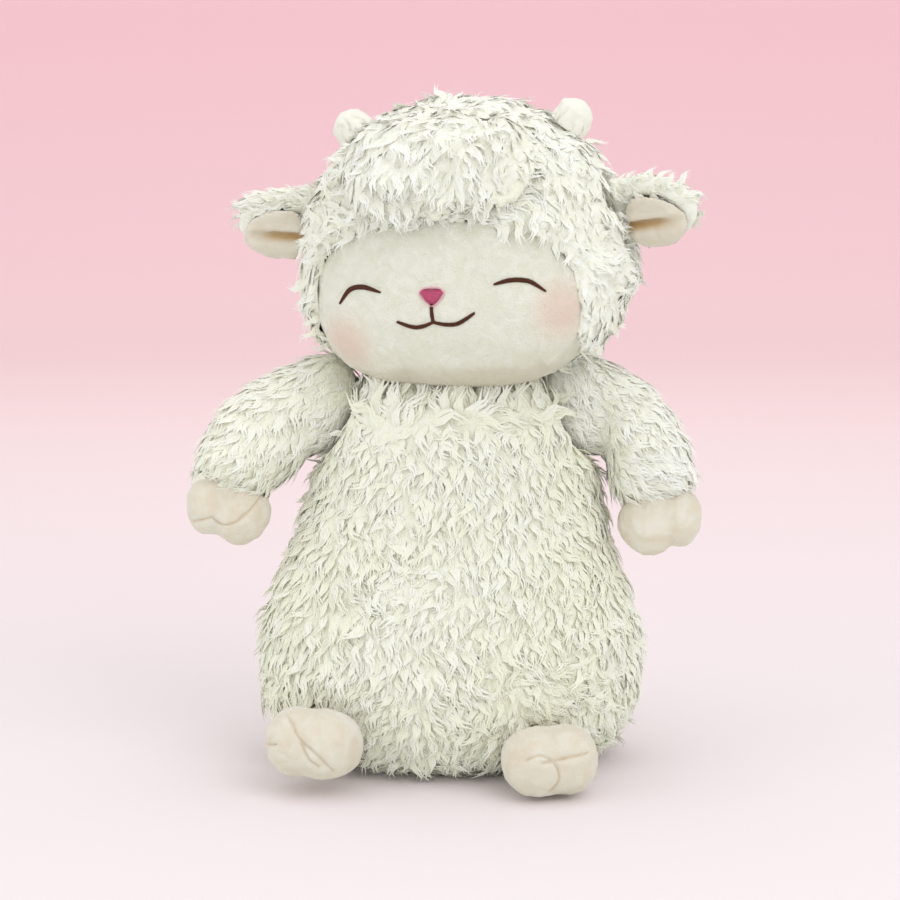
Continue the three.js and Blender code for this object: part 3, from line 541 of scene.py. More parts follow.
def lock_mesh(name, width, phase, curl, lift, hook):
    """A wavy tuft of length 1: three flat strands side by side that part at their points.

    +X is the way it lies and +Z is away from the cloth.
    """
    rings = 5
    profile = ((1.0, -0.15), (0.0, 0.40), (-1.0, -0.15))
    points, faces, uvs = [], [], []
    for strand in (-1, 0, 1):
        reach = 1.0 - 0.16 * abs(strand) + 0.05 * strand * math.sin(phase)
        centres = []
        for ring in range(rings + 1):
            t = ring / rings
            wave = curl * math.sin(2 * math.pi * 1.25 * t + phase + 0.5 * strand) * t**0.6
            apart = strand * width * (0.34 - 0.10 * t + 0.30 * t**4)
            x = reach * (0.55 * t + 0.42 * t**1.2)
            z = lift * math.sin(2.0 * t) - hook * t**3 - 0.012 * abs(strand)
            centres.append(Vector((x, wave + apart, z)))
        first = len(points)
        for ring in range(rings):
            t = ring / rings
            along = (centres[ring + 1] - centres[max(ring - 1, 0)]).normalized()
            side = along.cross(Vector((0, 0, 1))).normalized()
            up = side.cross(along)
            half = width * 0.26 * (1 - t**2.2) * (0.7 + 0.5 * math.sin(math.pi * min(t + 0.2, 1)))
            roll = Matrix.Rotation(0.35 * math.sin(phase + 4.0 * t + strand), 3, along)
            for across, rise in profile:
                points.append(centres[ring] + half * (roll @ (across * side + rise * up)))
        points.append(centres[rings])
        tip = len(points) - 1
        across = (strand + 1.5) / 3
        for ring in range(rings - 1):
            for corner in range(3):
                a = first + ring * 3 + corner
                b = first + ring * 3 + (corner + 1) % 3
                faces.append((a, b, b + 3, a + 3))
                uvs.append([(across, ring / rings)] * 2 + [(across, (ring + 1) / rings)] * 2)
        last = first + (rings - 1) * 3
        for corner in range(3):
            faces.append((last + corner, last + (corner + 1) % 3, tip))
            uvs.append([(across, (rings - 1) / rings)] * 2 + [(across, 1.0)])
        faces.append((first + 2, first + 1, first))
        uvs.append([(across, 0.0)] * 3)
    return outward_mesh(name, points, faces, uvs)


def lock_collection(settings):
    """The different locks of length 1, kept out of the scene."""
    existing = bpy.data.collections.get("locks")
    if existing:
        return existing
    collection = bpy.data.collections.new("locks")
    width = settings.lock_width / settings.lock_length
    for index, shape in enumerate(LOCK_SHAPES):
        mesh = lock_mesh(f"lock_{index}", width, *shape)
        collection.objects.link(bpy.data.objects.new(f"lock_{index}", mesh))
    return collection


def fleece_tree():
    """Lays locks on a skin: each leans the way that the skin's comb attribute points."""
    existing = bpy.data.node_groups.get("Fleece")
    if existing:
        return existing
    tree, given = new_tree(
        "Fleece",
        [
            ("Locks", "Collection", None),
            ("Spacing", "Float", 0.004),
            ("Length", "Float", 0.013),
            ("Ruffle", "Float", 0.6),
            ("Rise", "Float", 1.0),
            ("Seed", "Int", 1),
            ("Material", "Material", None),
        ],
    )

    def chance(low, high, offset):
        seed = maths(tree, "ADD", given["Seed"], offset)
        inputs = {"Seed": seed, 2: low, 3: high}
        return add_node(tree, "FunctionNodeRandomValue", inputs, data_type="FLOAT").outputs[1]

    def scaled(vector, factor):
        inputs = {0: vector, "Scale": factor}
        return add_node(tree, "ShaderNodeVectorMath", inputs, operation="SCALE").outputs[0]

    spread = add_node(
        tree,
        "GeometryNodeDistributePointsOnFaces",
        {
            "Mesh": given["Geometry"],
            "Distance Min": given["Spacing"],
            "Density Max": 400000.0,
            "Density Factor": read_attribute(tree, "cover"),
            "Seed": given["Seed"],
        },
        distribute_method="POISSON",
    )
    jitter = vector_of(tree, chance(-1, 1, 11), chance(-1, 1, 12), chance(-1, 1, 13))
    comb = {0: read_attribute(tree, "comb", "FLOAT_VECTOR"), 1: scaled(jitter, given["Ruffle"])}
    lie = add_node(tree, "ShaderNodeVectorMath", comb, operation="ADD").outputs[0]
    tilt = vector_of(tree, chance(-0.16, 0.16, 14), chance(-0.13, 0.03, 15))
    leaning = add_node(
        tree,
        "FunctionNodeRotateRotation",
        {"Rotation": standing(tree, spread.outputs["Normal"], lie), "Rotate By": scaled(tilt, given["Rise"])},
        rotation_space="LOCAL",
    )
    size = maths(tree, "MULTIPLY", read_attribute(tree, "size"), chance(0.72, 1.28, 16))
    long = maths(tree, "MULTIPLY", size, given["Length"])
    high = maths(tree, "MULTIPLY", long, given["Rise"])
    shade = add_node(
        tree,
        "GeometryNodeStoreNamedAttribute",
        {"Geometry": spread.outputs["Points"], "Name": "chance", "Value": chance(0, 1, 17)},
        data_type="FLOAT",
        domain="POINT",
    )
    locks = add_node(
        tree,
        "GeometryNodeCollectionInfo",
        {"Collection": given["Locks"], "Separate Children": True, "Reset Children": True},
    )
    pick = add_node(
        tree,
        "FunctionNodeRandomValue",
        {"Seed": maths(tree, "ADD", given["Seed"], 18.0), 4: 0, 5: len(LOCK_SHAPES) - 1},
        data_type="INT",
    )
    planted = add_node(
        tree,
        "GeometryNodeInstanceOnPoints",
        {
            "Points": shade.outputs[0],
            "Instance": locks.outputs[0],
            "Pick Instance": True,
            "Instance Index": pick.outputs[2],
            "Rotation": leaning.outputs[0],
            "Scale": vector_of(tree, long, long, high),
        },
    )
    both = add_node(tree, "GeometryNodeJoinGeometry", {0: given["Geometry"]})
    tree.links.new(planted.outputs[0], both.inputs[0])
    return end_tree(tree, both.outputs[0], given["Material"])


def tone_map(piece):
    """Writes the UV map that the fleece material reads: chance and painted shade across, root to tip along."""
    mesh = piece.data
    layer = mesh.uv_layers["OFBake"].data
    uv = np.zeros(len(mesh.loops) * 2, np.float32)
    layer.foreach_get("uv", uv)
    uv = uv.reshape(-1, 2)
    corner = np.zeros(len(mesh.loops), np.int32)
    mesh.loops.foreach_get("vertex_index", corner)

    def read(name):
        values = np.zeros(len(mesh.vertices), np.float32)
        mesh.attributes[name].data.foreach_get("value", values)
        return values[corner]

    uv[:, 0] = 0.5 * read("shade") + 0.38 * read("chance") + 0.12 * uv[:, 0]
    layer.foreach_set("uv", np.clip(uv, 0.01, 0.99).ravel())


def fleeced(skin, level, comb, settings, seed, spacing, length=1.0, ruffle=0.6, rise=1.0):
    """Turns a skin into cloth with locks on it; level holds how high each point of the cloth lies, and low places
    take a painted shade.

    comb(place, normal) returns the way a lock lies, its size and its shade from 0, dark, to 1, light, which is
    painted light and shade.
    """
    mesh = skin.data
    lie, size, shade = [], [], []
    for vert in mesh.vertices:
        way, scale, tone = comb(vert.co, vert.normal)
        lie.extend(way)
        size.append(scale)
        shade.append(tone)
    give_attribute(skin, "comb", lie, "FLOAT_VECTOR")
    give_attribute(skin, "size", size)
    give_attribute(skin, "shade", shade)
    give_attribute(skin, "chance", [BARE_CLOTH_TONE] * len(mesh.vertices))
    # The cloth's UV runs up with its height, so its hollows take the root colour as a painted shade.
    corner = np.zeros(len(mesh.loops), np.int32)
    mesh.loops.foreach_get("vertex_index", corner)
    height = np.array(level, np.float32)[corner]
    ground = np.stack([np.full(len(corner), 0.5, np.float32), height], axis=1)
    mesh.uv_layers.new(name="OFBake").data.foreach_set("uv", ground.ravel())
    # The cloth is smooth and the thin strands stay flat, because smoothed strands turn grey.
    smooth_shaded(skin)
    with_nodes(
        skin,
        fleece_tree(),
        {
            "Locks": lock_collection(settings),
            "Spacing": spacing,
            "Length": settings.lock_length * length,
            "Ruffle": ruffle,
            "Rise": rise,
            "Seed": seed,
            "Material": fleece_material(settings),
        },
    )
    tone_map(skin)
    drop_attributes(skin, "comb", "size", "shade", "chance", "cover")


# Materials


def new_material(name):
    material = bpy.data.materials.new(name)
    material.use_nodes = True
    return material, material.node_tree, material.node_tree.nodes["Principled BSDF"]


def dressed(tree, shader, **inputs):
    """Sets or links inputs of the shader, such as Base_Color for Base Color."""
    for name, value in inputs.items():
        put(tree, shader.inputs[name.replace("_", " ")], value)


def short_pile_group():
    """Tiny tufts of a short pile cloth: a height, and a mask of brushed streaks."""
    existing = bpy.data.node_groups.get("Short pile")
    if existing:
        return existing
    group = bpy.data.node_groups.new("Short pile", "ShaderNodeTree")
    group.interface.new_socket("Vector", in_out="INPUT", socket_type="NodeSocketVector")
    for label, default in (("Tuft", 900.0), ("Brush", 60.0)):
        socket = group.interface.new_socket(label, in_out="INPUT", socket_type="NodeSocketFloat")
        socket.default_value = default
    for label in ("Height", "Streak"):
        group.interface.new_socket(label, in_out="OUTPUT", socket_type="NodeSocketFloat")
    given = group.nodes.new("NodeGroupInput").outputs
    tuft = grain(group, given["Vector"], given["Tuft"], 3.0)
    brush = grain(group, given["Vector"], given["Brush"], 4.0, 1.2)
    height = maths(group, "ADD", tuft, brush)
    add_node(group, "NodeGroupOutput", {"Height": height, "Streak": mapped(group, brush, 0.35, 0.65)})
    return group


def short_pile(tree, place, tuft, brush):
    """The height and the streak mask of the shared short pile group."""
    pile = tree.nodes.new("ShaderNodeGroup")
    pile.node_tree = short_pile_group()
    for name, value in (("Vector", place), ("Tuft", tuft), ("Brush", brush)):
        put(tree, pile.inputs[name], value)
    return pile.outputs["Height"], pile.outputs["Streak"]


def tinted(colour, shade):
    return tuple(part * factor for part, factor in zip(colour, shade))


def fold_shaded(tree, colour, fold_shade):
    """The colour, turning to a painted shade colour where the piece's painted shade attribute says so."""
    depth = add_node(tree, "ShaderNodeAttribute", attribute_name="fold_shade").outputs["Fac"]
    return mixed(tree, depth, colour, fold_shade)


def fleece_material(settings):
    """Curly pile: warm with painted shade at its roots, pale at its tips, creamier where its tone is low, and that
    tone holds painted light and shade.
    """
    existing = bpy.data.materials.get("curly_fleece")
    if existing:
        return existing
    material, tree, shader = new_material("curly_fleece")
    uv = add_node(tree, "ShaderNodeUVMap", uv_map="OFBake").outputs[0]
    tone, along = add_node(tree, "ShaderNodeSeparateXYZ", {0: uv}).outputs[:2]
    rise = mapped(tree, along, 0.0, 0.62, kind="SMOOTHSTEP")
    pile = mixed(tree, rise, settings.root_shade_colour, settings.tip_colour)
    warm = mapped(tree, tone, 0.15, 0.8, 1.0, 0.0)
    cream = tinted(settings.tip_colour, (0.960, 0.948, 0.815))
    fibre = grain(tree, object_place(tree), 330.0, 5.0, 1.6)
    dressed(
        tree,
        shader,
        Base_Color=mixed(tree, warm, pile, cream),
        Normal=bumps(tree, fibre, 0.5, 0.0012),
        Roughness=0.5,
        Sheen_Weight=0.35,
        Sheen_Roughness=0.4,
    )
    return material


def pile_material(name, colour, shade, roughness=0.8, tuft=900.0, brush=60.0, bump=0.5):
    """Short pile cloth: its brushed streaks are a little darker, and its creases get a painted brown shade."""
    existing = bpy.data.materials.get(name)
    if existing:
        return existing
    material, tree, shader = new_material(name)
    height, streak = short_pile(tree, object_place(tree), tuft, brush)
    streaked = mixed(tree, streak, tinted(colour, shade), colour)
    dressed(
        tree,
        shader,
        Base_Color=fold_shaded(tree, streaked, PILE_FOLD_SHADE_COLOUR),
        Normal=bumps(tree, height, bump, 0.0008),
        Roughness=roughness,
        Sheen_Weight=0.4,
        Sheen_Roughness=0.5,
    )
    return material


def face_material(settings):
    """Short pile with faint wrinkles in painted shade, blushing cheeks and a warm painted shade under the chin."""
    material, tree, shader = new_material("face_pile")
    place = object_place(tree)
    height, streak = short_pile(tree, place, 1100.0, 110.0)
    base = tuple(settings.face_colour)
    colour = mixed(tree, streak, tinted(base, (0.93, 0.92, 0.87)), base)
    level = grain(tree, place, 30.0, 3.0, 1.4)
    ridge = maths(tree, "ABSOLUTE", maths(tree, "SUBTRACT", level, 0.5))
    wrinkle = mapped(tree, ridge, 0.0, 0.016, 1.0, 0.0, kind="SMOOTHSTEP")
    patch = mapped(tree, grain(tree, place, 55.0, 1.0), 0.48, 0.62)
    # Painted shade in the wrinkles, which are also dents in the bump
    faint = maths(tree, "MULTIPLY", maths(tree, "MULTIPLY", wrinkle, patch), 0.12)
    colour = mixed(tree, faint, colour, WRINKLE_SHADE_COLOUR)
    for x, z, radius in CHEEKS:
        middle = head_matrix() @ (HEAD_MIDDLE + Vector((x, -0.058, z)))
        spot = add_node(tree, "ShaderNodeVectorMath", {0: place, 1: middle}, operation="DISTANCE")
        near = mapped(tree, spot.outputs["Value"], 0.004, radius, 0.62, 0.0, kind="SMOOTHSTEP")
        colour = mixed(tree, near, colour, settings.blush_colour)
    dressed(
        tree,
        shader,
        Base_Color=fold_shaded(tree, colour, CHIN_SHADE_COLOUR),
        Normal=bumps(tree, maths(tree, "SUBTRACT", height, faint), 0.8, 0.0012),
        Roughness=0.8,
        Sheen_Weight=0.4,
    )
    return material


def thread_material(name, colour, glow):
    """Satin stitches: a dark thread with a warmer painted shine along it, in lighter streaks."""
    material, tree, shader = new_material(name)
    # The glow colour is a painted highlight, laid in streaks.
    streak = grain(tree, object_place(tree), 1400.0, 2.0)
    dressed(
        tree, shader, Base_Color=mixed(tree, streak, colour, glow), Roughness=0.55, Specular_IOR_Level=0.3
    )
    return material


def fibre_material():
    """Loose white fibre for the stuffing."""
    material, tree, shader = new_material("loose_fibre")
    strand = grain(tree, object_place(tree), 260.0, 6.0, 3.0)
    dressed(
        tree,
        shader,
        Base_Color=mixed(tree, strand, (0.78, 0.77, 0.74), (0.93, 0.92, 0.90)),
        Normal=bumps(tree, strand, 0.6, 0.002),
        Roughness=0.9,
    )
    return material


# Pieces in fleece


def tufted(skin, height):
    """Swells a skin in soft mounds, as where the pile gathers, and returns how high each point is, which sets the
    painted shade in the hollows.
    """
    level = []

    def swell(place, normal):
        mounds = 2.0 * abs(noise.noise(place * 52.0)) + 1.1 * abs(noise.noise(place * 118.0))
        level.append(ramp(0.18 + 0.5 * mounds, 0.0, 1.0))
        return place + normal * height * (mounds - 0.55)

    moved(skin, swell)
    return level


def fleece_piece(context, solid, name, body, comb, seed, others, **how):
    """The part of a solid at one node, set back under the pile, as cloth with locks on it.

    how may hold away_from for part_of, the slot, which is not used, the height of the tuft, bare(place, normal),
    which is true where no lock grows, and what fleeced takes.
    """
    settings = context.scene.lamb_fleece
    skin = part_of(solid, name, others, how.pop("away_from", ()))
    shaped(skin, "DISPLACE", strength=-settings.root_depth, mid_level=0.0)
    shaped(skin, "SUBSURF", levels=1, render_levels=1)
    level = tufted(skin, how.pop("tuft", MOUND_HEIGHT))
    bare = how.pop("bare", lambda place, normal: False)
    grown = [0.0 if bare(vert.co, vert.normal) else 1.0 for vert in skin.data.vertices]
    shaped(skin, "SOLIDIFY", thickness=CLOTH_THICKNESS, offset=-1.0)
    inner = [0.0] * (len(skin.data.vertices) - len(grown))
    give_attribute(skin, "cover", grown + inner)
    slot = how.pop("slot", "fleece")
    spacing = how.pop("spacing", settings.spacing)
    fleeced(skin, level + inner, comb, settings, seed, spacing, **how)
    return finished(skin, f"{name}_fleece", body, name, smooth=False)


def body_comb(place, normal):
    """The body's pile hangs down in slow waves, turns outwards at the sides and up at the collar. Its tone is
    painted light: lighter higher up and at the sides, darker at the back.
    """
    collar = ramp(place.z, 0.196, 0.208)
    way = DOWN * (1 - 1.6 * collar) + ruffled(place, 20.0, 1.15) + Vector((3.6 * place.x, 0, 0))
    size = 1.0 + 0.22 * noise.noise(place * 30.0) + 0.45 * collar
    light = 0.34 + 0.8 * (place.z - 0.05) - 2.0 * max(0.0, place.y) + 2.2 * max(0.0, abs(place.x) - 0.07)
    return way, size, shade_at(place, light)


def seat_comb(place, normal):
    way, size, tone = body_comb(place, normal)
    # The seat's tone is lowered by a fifth: a painted shade underneath.
    return way + Vector((normal.x, normal.y, 0)), size * 0.8, tone * 0.8


def collar_swell(height, inwards=0.0):
    """The cloth about the neck stands up towards the head by the height, and closes in on the neck."""
    neck = joint_place("head_turn")

    def swell(place, normal):
        away = math.hypot(place.x - neck.x, place.y - neck.y) - COLLAR_RADIUS
        near = ramp(place.z - neck.z, -0.030, -0.008)
        ring = near * bell(max(away, 0.0), COLLAR_REACH)
        closer = inwards * near * bell(away, 0.022) * (neck - place).normalized()
        closer.z = 0.0
        rise = Vector((0, -0.25 * height * ring, height * ring)) * max(normal.z + 0.3, 0.0) / 1.3
        return place + closer + rise

    return swell


class LAMB_OT_body(bpy.types.Operator):
    """Make the fleece panels of the body"""

    bl_idname = "lamb.body"
    bl_label = "Body"

    def execute(self, context):
        solid = solid_of(TORSO_NODES, 0.004)
        moved(solid, collar_swell(0.012))
        openings = [(joint_place(name), radius) for name, radius in TORSO_OPENINGS.items()]
        behind = {"spacing": context.scene.lamb_fleece.back_spacing}
        panels = [
            ("body_front", body_comb, {}),
            ("body_back_left", body_comb, behind),
            ("body_back_right", body_comb, behind),
            ("seat_panel", seat_comb, {"slot": "seat_cloth"}),
        ]
        for seed, (name, comb, how) in enumerate(panels, 1):
            others = [node for node in TORSO_NODES if node != name]
            how["away_from"] = openings
            piece = fleece_piece(context, solid, name, "torso", comb, seed, others, **how)
            moved(piece, lambda place, normal: Vector((place.x, place.y, max(place.z, GROUND))))
        removed(solid)
        return {"FINISHED"}


class LAMB_OT_neck(bpy.types.Operator):
    """Make the narrow fleece band of the neck"""

    bl_idname = "lamb.neck"
    bl_label = "Neck"

    def execute(self, context):
        solid = solid_of(["neck_band", "neck_stuffing"], 0.004)
        how = {"spacing": 0.0036, "length": 0.8}
        fleece_piece(context, solid, "neck_band", "neck", body_comb, 11, ["neck_stuffing"], **how)
        removed(solid)
        return {"FINISHED"}


def head_matrix():
    """The head's own frame: its origin is the neck's middle, -Y is the way the face looks."""
    turn = Matrix.Rotation(HEAD_ROLL, 4, "Y") @ Matrix.Rotation(HEAD_TURN, 4, "Z")
    return Matrix.Translation(joint_place("head_nod")) @ turn


def head_comb(place, normal):
    """The hood's pile falls away from the crown and stands out in loose tufts. Its tone is painted light: lighter
    at the crown and towards +X, darker at the back.
    """
    local = head_matrix().inverted() @ place - HEAD_MIDDLE
    away = Vector((local.x, local.y * 0.6, local.z - 0.11)).normalized()
    way = head_matrix().to_3x3() @ away + ruffled(place, 30.0, 1.5, 7.0)
    size = 0.88 + 0.24 * noise.noise(place * 34.0)
    light = 0.85 + 2.2 * local.z - 2.0 * max(0.0, local.y) + 1.2 * local.x
    return way, size, shade_at(place, light)


class LAMB_OT_hood(bpy.types.Operator):
    """Make the two halves of the hood"""

    bl_idname = "lamb.hood"
    bl_label = "Hood"

    def execute(self, context):
        solid = solid_of(HEAD_NODES, 0.004)
        how = {"away_from": [(joint_place("head_nod"), 0.030)], "tuft": 0.0030}
        how.update(ruffle=0.8, rise=0.5, spacing=0.0037)
        for seed, name in ((21, "hood_left"), (22, "hood_right")):
            others = [node for node in HEAD_NODES if node != name]
            fleece_piece(context, solid, name, "head", head_comb, seed, others, **how)
        removed(solid)
        return {"FINISHED"}


def fringe_comb(place, normal):
    """The fringe's pile falls forwards and parts to both sides. Its tone is painted light, lighter higher up."""
    local = head_matrix().inverted() @ place - HEAD_MIDDLE
    way = head_matrix().to_3x3() @ Vector((7.0 * local.x, -0.25, -1.0))
    way += ruffled(place, 36.0, 1.2, 2.0)
    size = 0.90 + 0.22 * noise.noise(place * 40.0)
    return way, size, shade_at(place, 0.9 + 2.0 * (local.z - 0.05), depth=0.3)


class LAMB_OT_fringe(bpy.types.Operator):
    """Make the puff of fleece over the forehead"""

    bl_idname = "lamb.fringe"
    bl_label = "Fringe"

    def execute(self, context):
        solid = solid_of(["fringe"], 0.0035)
        how = {"tuft": 0.0036, "ruffle": 0.7, "rise": 0.5, "spacing": 0.0036}
        fleece_piece(context, solid, "fringe", "head", fringe_comb, 31, ["head_stuffing"], **how)
        removed(solid)
        return {"FINISHED"}


def ear_comb(side):
    def comb(place, normal):
        way = Vector((side * 1.0, 0.35, 0.1)) + ruffled(place, 40.0, 0.7, 5.0)
        return way, 0.75 + 0.2 * noise.noise(place * 40.0), shade_at(place, 0.75)

    return comb


def ear_frame(side):
    """The ear's own frame, where +X runs to its tip, and the way that its lining looks."""
    name = "ear_left_flap" if side < 0 else "ear_right_flap"
    turn = math.pi + EAR_SWEEP if side < 0 else -EAR_SWEEP
    own = Matrix.Rotation(turn, 4, "Z") @ Matrix.Rotation(side * EAR_TILT, 4, "X")
    matrix = Matrix.Translation(joint_place(name)) @ head_matrix().to_3x3().to_4x4() @ own
    return matrix, matrix.to_3x3() @ Vector((0, -side, 0))


def ear_rim(side):
    """True on the lower front edge of an ear, where its lining shows bare."""
    matrix, forwards = ear_frame(side)
    inverse = matrix.inverted()
    return lambda place, normal: normal.dot(forwards) > -0.25 and (inverse @ place).z < 0.004


def widened_lining(piece, side):
    """Spreads the lining over the ear's edge below and at the tip, a little in front of the back."""
    matrix = ear_frame(side)[0]
    inverse = matrix.inverted()

    def spread(place, normal):
        local = inverse @ place
        local.x += 0.10 * max(local.x - 0.015, 0.0)
        local.z += 0.16 * min(local.z + 0.002, 0.0)
        local.y -= side * 0.0009
        return matrix @ local + normal * 0.0006

    return moved(piece, spread)


def folded_lining(piece, side):
    """Presses a long crease into the lining: a lip above it, a full petal below it, and a painted shade along it.
    """
    matrix, forwards = ear_frame(side)
    inverse = matrix.inverted()

    def press(place, normal):
        local = inverse @ place
        line = local.z + 0.0035 - 0.10 * (local.x - 0.02)
        reach = ramp(-local.x, -0.036, -0.024)
        front = max(normal.dot(forwards), 0.0)
        # Painted shade in the crease, darkest near the ear's root
        dark = bell(line + 0.0016, 0.0024) * reach * (1.25 - 0.6 * local.x / 0.036)
        push = 0.0016 * bell(line - 0.0035, 0.0028) + 0.0030 * bell(line + 0.008, 0.006)
        push -= 0.0034 * bell(line, 0.0016) * reach
        place = place + forwards * (push * front) + normal * 0.0003 * noise.noise(place * 260.0)
        return place, min(1.0, dark) * (front > 0.1)

    return creased(piece, press)


class LAMB_OT_ears(bpy.types.Operator):
    """Make the ears: fleece behind, smooth lining in front"""

    bl_idname = "lamb.ears"
    bl_label = "Ears"

    def execute(self, context):
        shade = (0.93, 0.90, 0.84)
        colour = context.scene.lamb_cloth.lining_colour
        lining = pile_material("ear_lining_cloth", colour, shade, 0.7, tuft=1500.0, brush=70.0, bump=0.25)
        for seed, (name, side) in enumerate((("ear_left", -1), ("ear_right", 1)), 41):
            back, inside = f"{name}_back", f"{name}_lining"
            solid = solid_of([back], 0.002, smooth=3)
            how = {"bare": ear_rim(side), "spacing": 0.0034}
            fleece_piece(context, solid, back, name, ear_comb(side), seed, [inside], **how)
            removed(solid)
            piece = solid_of([inside], 0.0008, smooth=3)
            widened_lining(piece, side)
            folded_lining(piece, side)
            finished(piece, f"{inside}_cloth", name, inside, lining)
        return {"FINISHED"}


def sleeve_comb(side):
    def comb(place, normal):
        way = Vector((side * 0.75, -0.15, -0.85)) + ruffled(place, 22.0, 0.8, 9.0)
        size = 0.98 + 0.2 * noise.noise(place * 28.0)
        # Painted light: the tone is lighter on the right sleeve and higher up.
        light = 0.72 + side * 0.22 + 1.0 * (place.z - 0.17)
        return way, size, shade_at(place, light)

    return comb


def pressed_seams(piece, seams, depth=0.0010, width=0.0007):
    """Presses thin seams into the front of a piece and paints shade into their grooves."""
    corners = np.array([vert.co for vert in piece.data.vertices])
    middle = Vector((corners.min(axis=0) + corners.max(axis=0)) / 2)
    walked = [point for seam in seams for point in curve_points(seam, 0.0004)]
    tree = KDTree(len(walked))
    for index, point in enumerate(walked):
        tree.insert((point[0], point[1], 0.0), index)
    tree.balance()

    def press(place, normal):
        gap = tree.find((place.x - middle.x, place.z - middle.z, 0.0))[2]
        front = ramp(-normal.y, 0.0, 0.625)
        groove = bell(gap, width) * front
        puff = bell(gap - 0.0035, 0.0025) * front
        # The groove gets a painted shade as well as a dent.
        return place + normal * (0.5 * depth * puff - depth * groove), 0.40 * groove

    return creased(piece, press)


def hoof_piece(name, body, hidden, material, voxel=0.0016):
    """A cloven hoof in short pile, closed where it goes into the limb."""
    solid = solid_of([name, hidden], voxel, smooth=8)
    piece = part_of(solid, name, [hidden], closed=True)
    removed(solid)
    shaped(piece, "SUBSURF", levels=1, render_levels=1)
    pressed_seams(piece, HOOF_SEAMS[name])

    def soften(place, normal):
        return place + normal * (0.0008 * noise.noise(place * 90.0) + 0.0004 * noise.noise(place * 260.0))

    moved(piece, soften)
    return finished(piece, f"{name}_pile", body, name, material)


def hoof_pile(context):
    return pile_material("hoof_pile", context.scene.lamb_cloth.hoof_colour, (0.93, 0.88, 0.80))


class LAMB_OT_arms(bpy.types.Operator):
    """Make the sleeves and the hooves at their ends"""

    bl_idname = "lamb.arms"
    bl_label = "Arms"

    def execute(self, context):
        for seed, (name, side) in enumerate((("arm_left", -1), ("arm_right", 1)), 51):
            hidden, hoof, sleeve = f"{name}_stuffing", f"{name}_hoof", f"{name}_sleeve"
            solid = solid_of([sleeve, hidden, hoof], 0.0035)
            moved(solid, collar_swell(0.016, 0.006))
            how = {"ruffle": 0.45, "rise": 0.5, "spacing": 0.0034}
            fleece_piece(context, solid, sleeve, name, sleeve_comb(side), seed, [hidden, hoof], **how)
            removed(solid)
            hoof_piece(hoof, name, hidden, hoof_pile(context))
        return {"FINISHED"}


class LAMB_OT_feet(bpy.types.Operator):
    """Make the two feet"""

    bl_idname = "lamb.feet"
    bl_label = "Feet"

    def execute(self, context):
        for name in ("foot_left", "foot_right"):
            hoof_piece(f"{name}_hoof", name, f"{name}_stuffing", hoof_pile(context), voxel=0.002)
        return {"FINISHED"}


def tail_comb(place, normal):
    return DOWN + Vector((0, 0.4, 0)) + ruffled(place, 40.0, 0.8), 0.9, shade_at(place, 0.4)


class LAMB_OT_tail(bpy.types.Operator):
    """Make the short tail"""

    bl_idname = "lamb.tail"
    bl_label = "Tail"

    def execute(self, context):
        solid = solid_of(["tail"], 0.003)
        fleece_piece(context, solid, "tail", "tail", tail_comb, 61, ["body_stuffing"])
        removed(solid)
        return {"FINISHED"}


def creased_base(piece):
    """Gathers the cloth of a horn in creases where it is sewn to the head, with painted shade in the creases."""
    corners = np.array([vert.co for vert in piece.data.vertices])
    middle = Vector(corners.mean(axis=0))
    outwards = (middle - head_matrix() @ HEAD_MIDDLE).normalized()
    across = outwards.cross(Vector((0, 1, 0))).normalized()
    ahead = outwards.cross(across)

    def gather(place, normal):
        offset = place - middle
        low = ramp(-offset.dot(outwards), -0.008, 0.002)
        angle = math.atan2(offset.dot(ahead), offset.dot(across)) + 0.5 * noise.noise(place * 150.0)
        crease = max(math.sin(9 * angle), 0.0) ** 3 * low
        soft = 0.0009 * noise.noise(place * 110.0) + 0.0004 * noise.noise(place * 300.0)
        # Painted shade in the creases
        return place + normal * (soft - 0.0016 * crease), 0.9 * crease

    return creased(piece, gather)


class LAMB_OT_horns(bpy.types.Operator):
    """Make the two small stuffed horns"""

    bl_idname = "lamb.horns"
    bl_label = "Horns"

    def execute(self, context):
        colour = context.scene.lamb_cloth.horn_colour
        felt = pile_material("horn_felt", colour, (0.88, 0.82, 0.66), 0.85, tuft=1200.0, brush=110.0)
        for name in ("horn_left", "horn_right"):
            piece = creased_base(solid_of([name], 0.0009, smooth=8))
            finished(piece, f"{name}_felt", "head", name, felt)
        return {"FINISHED"}


# The face


def face_relief(x, z):
    """How far the cloth of the face swells or sinks at a place in front of it."""
    push = 0.0
    for height, middle, level, wide, tall in FACE_SWELLS:
        push += height * bell(x - middle, wide) * bell(z - level, tall)
    for middle, lean, depth in FACE_FOLDS:
        push -= depth * bell(x - middle - lean * (z - 0.02), 0.0028) * bell(z - 0.018, 0.016)
    corner = bell(x - 0.052, 0.02) * bell(z + 0.056, 0.014)
    push -= 0.0022 * bell(x - 0.052 + 0.5 * (z + 0.05), 0.0026) * corner
    push += 0.0010 * noise.noise(Vector((x * 55, z * 55, 0.3)))
    push += 0.00045 * noise.noise(Vector((x * 150, z * 150, 1.7)))
    return push


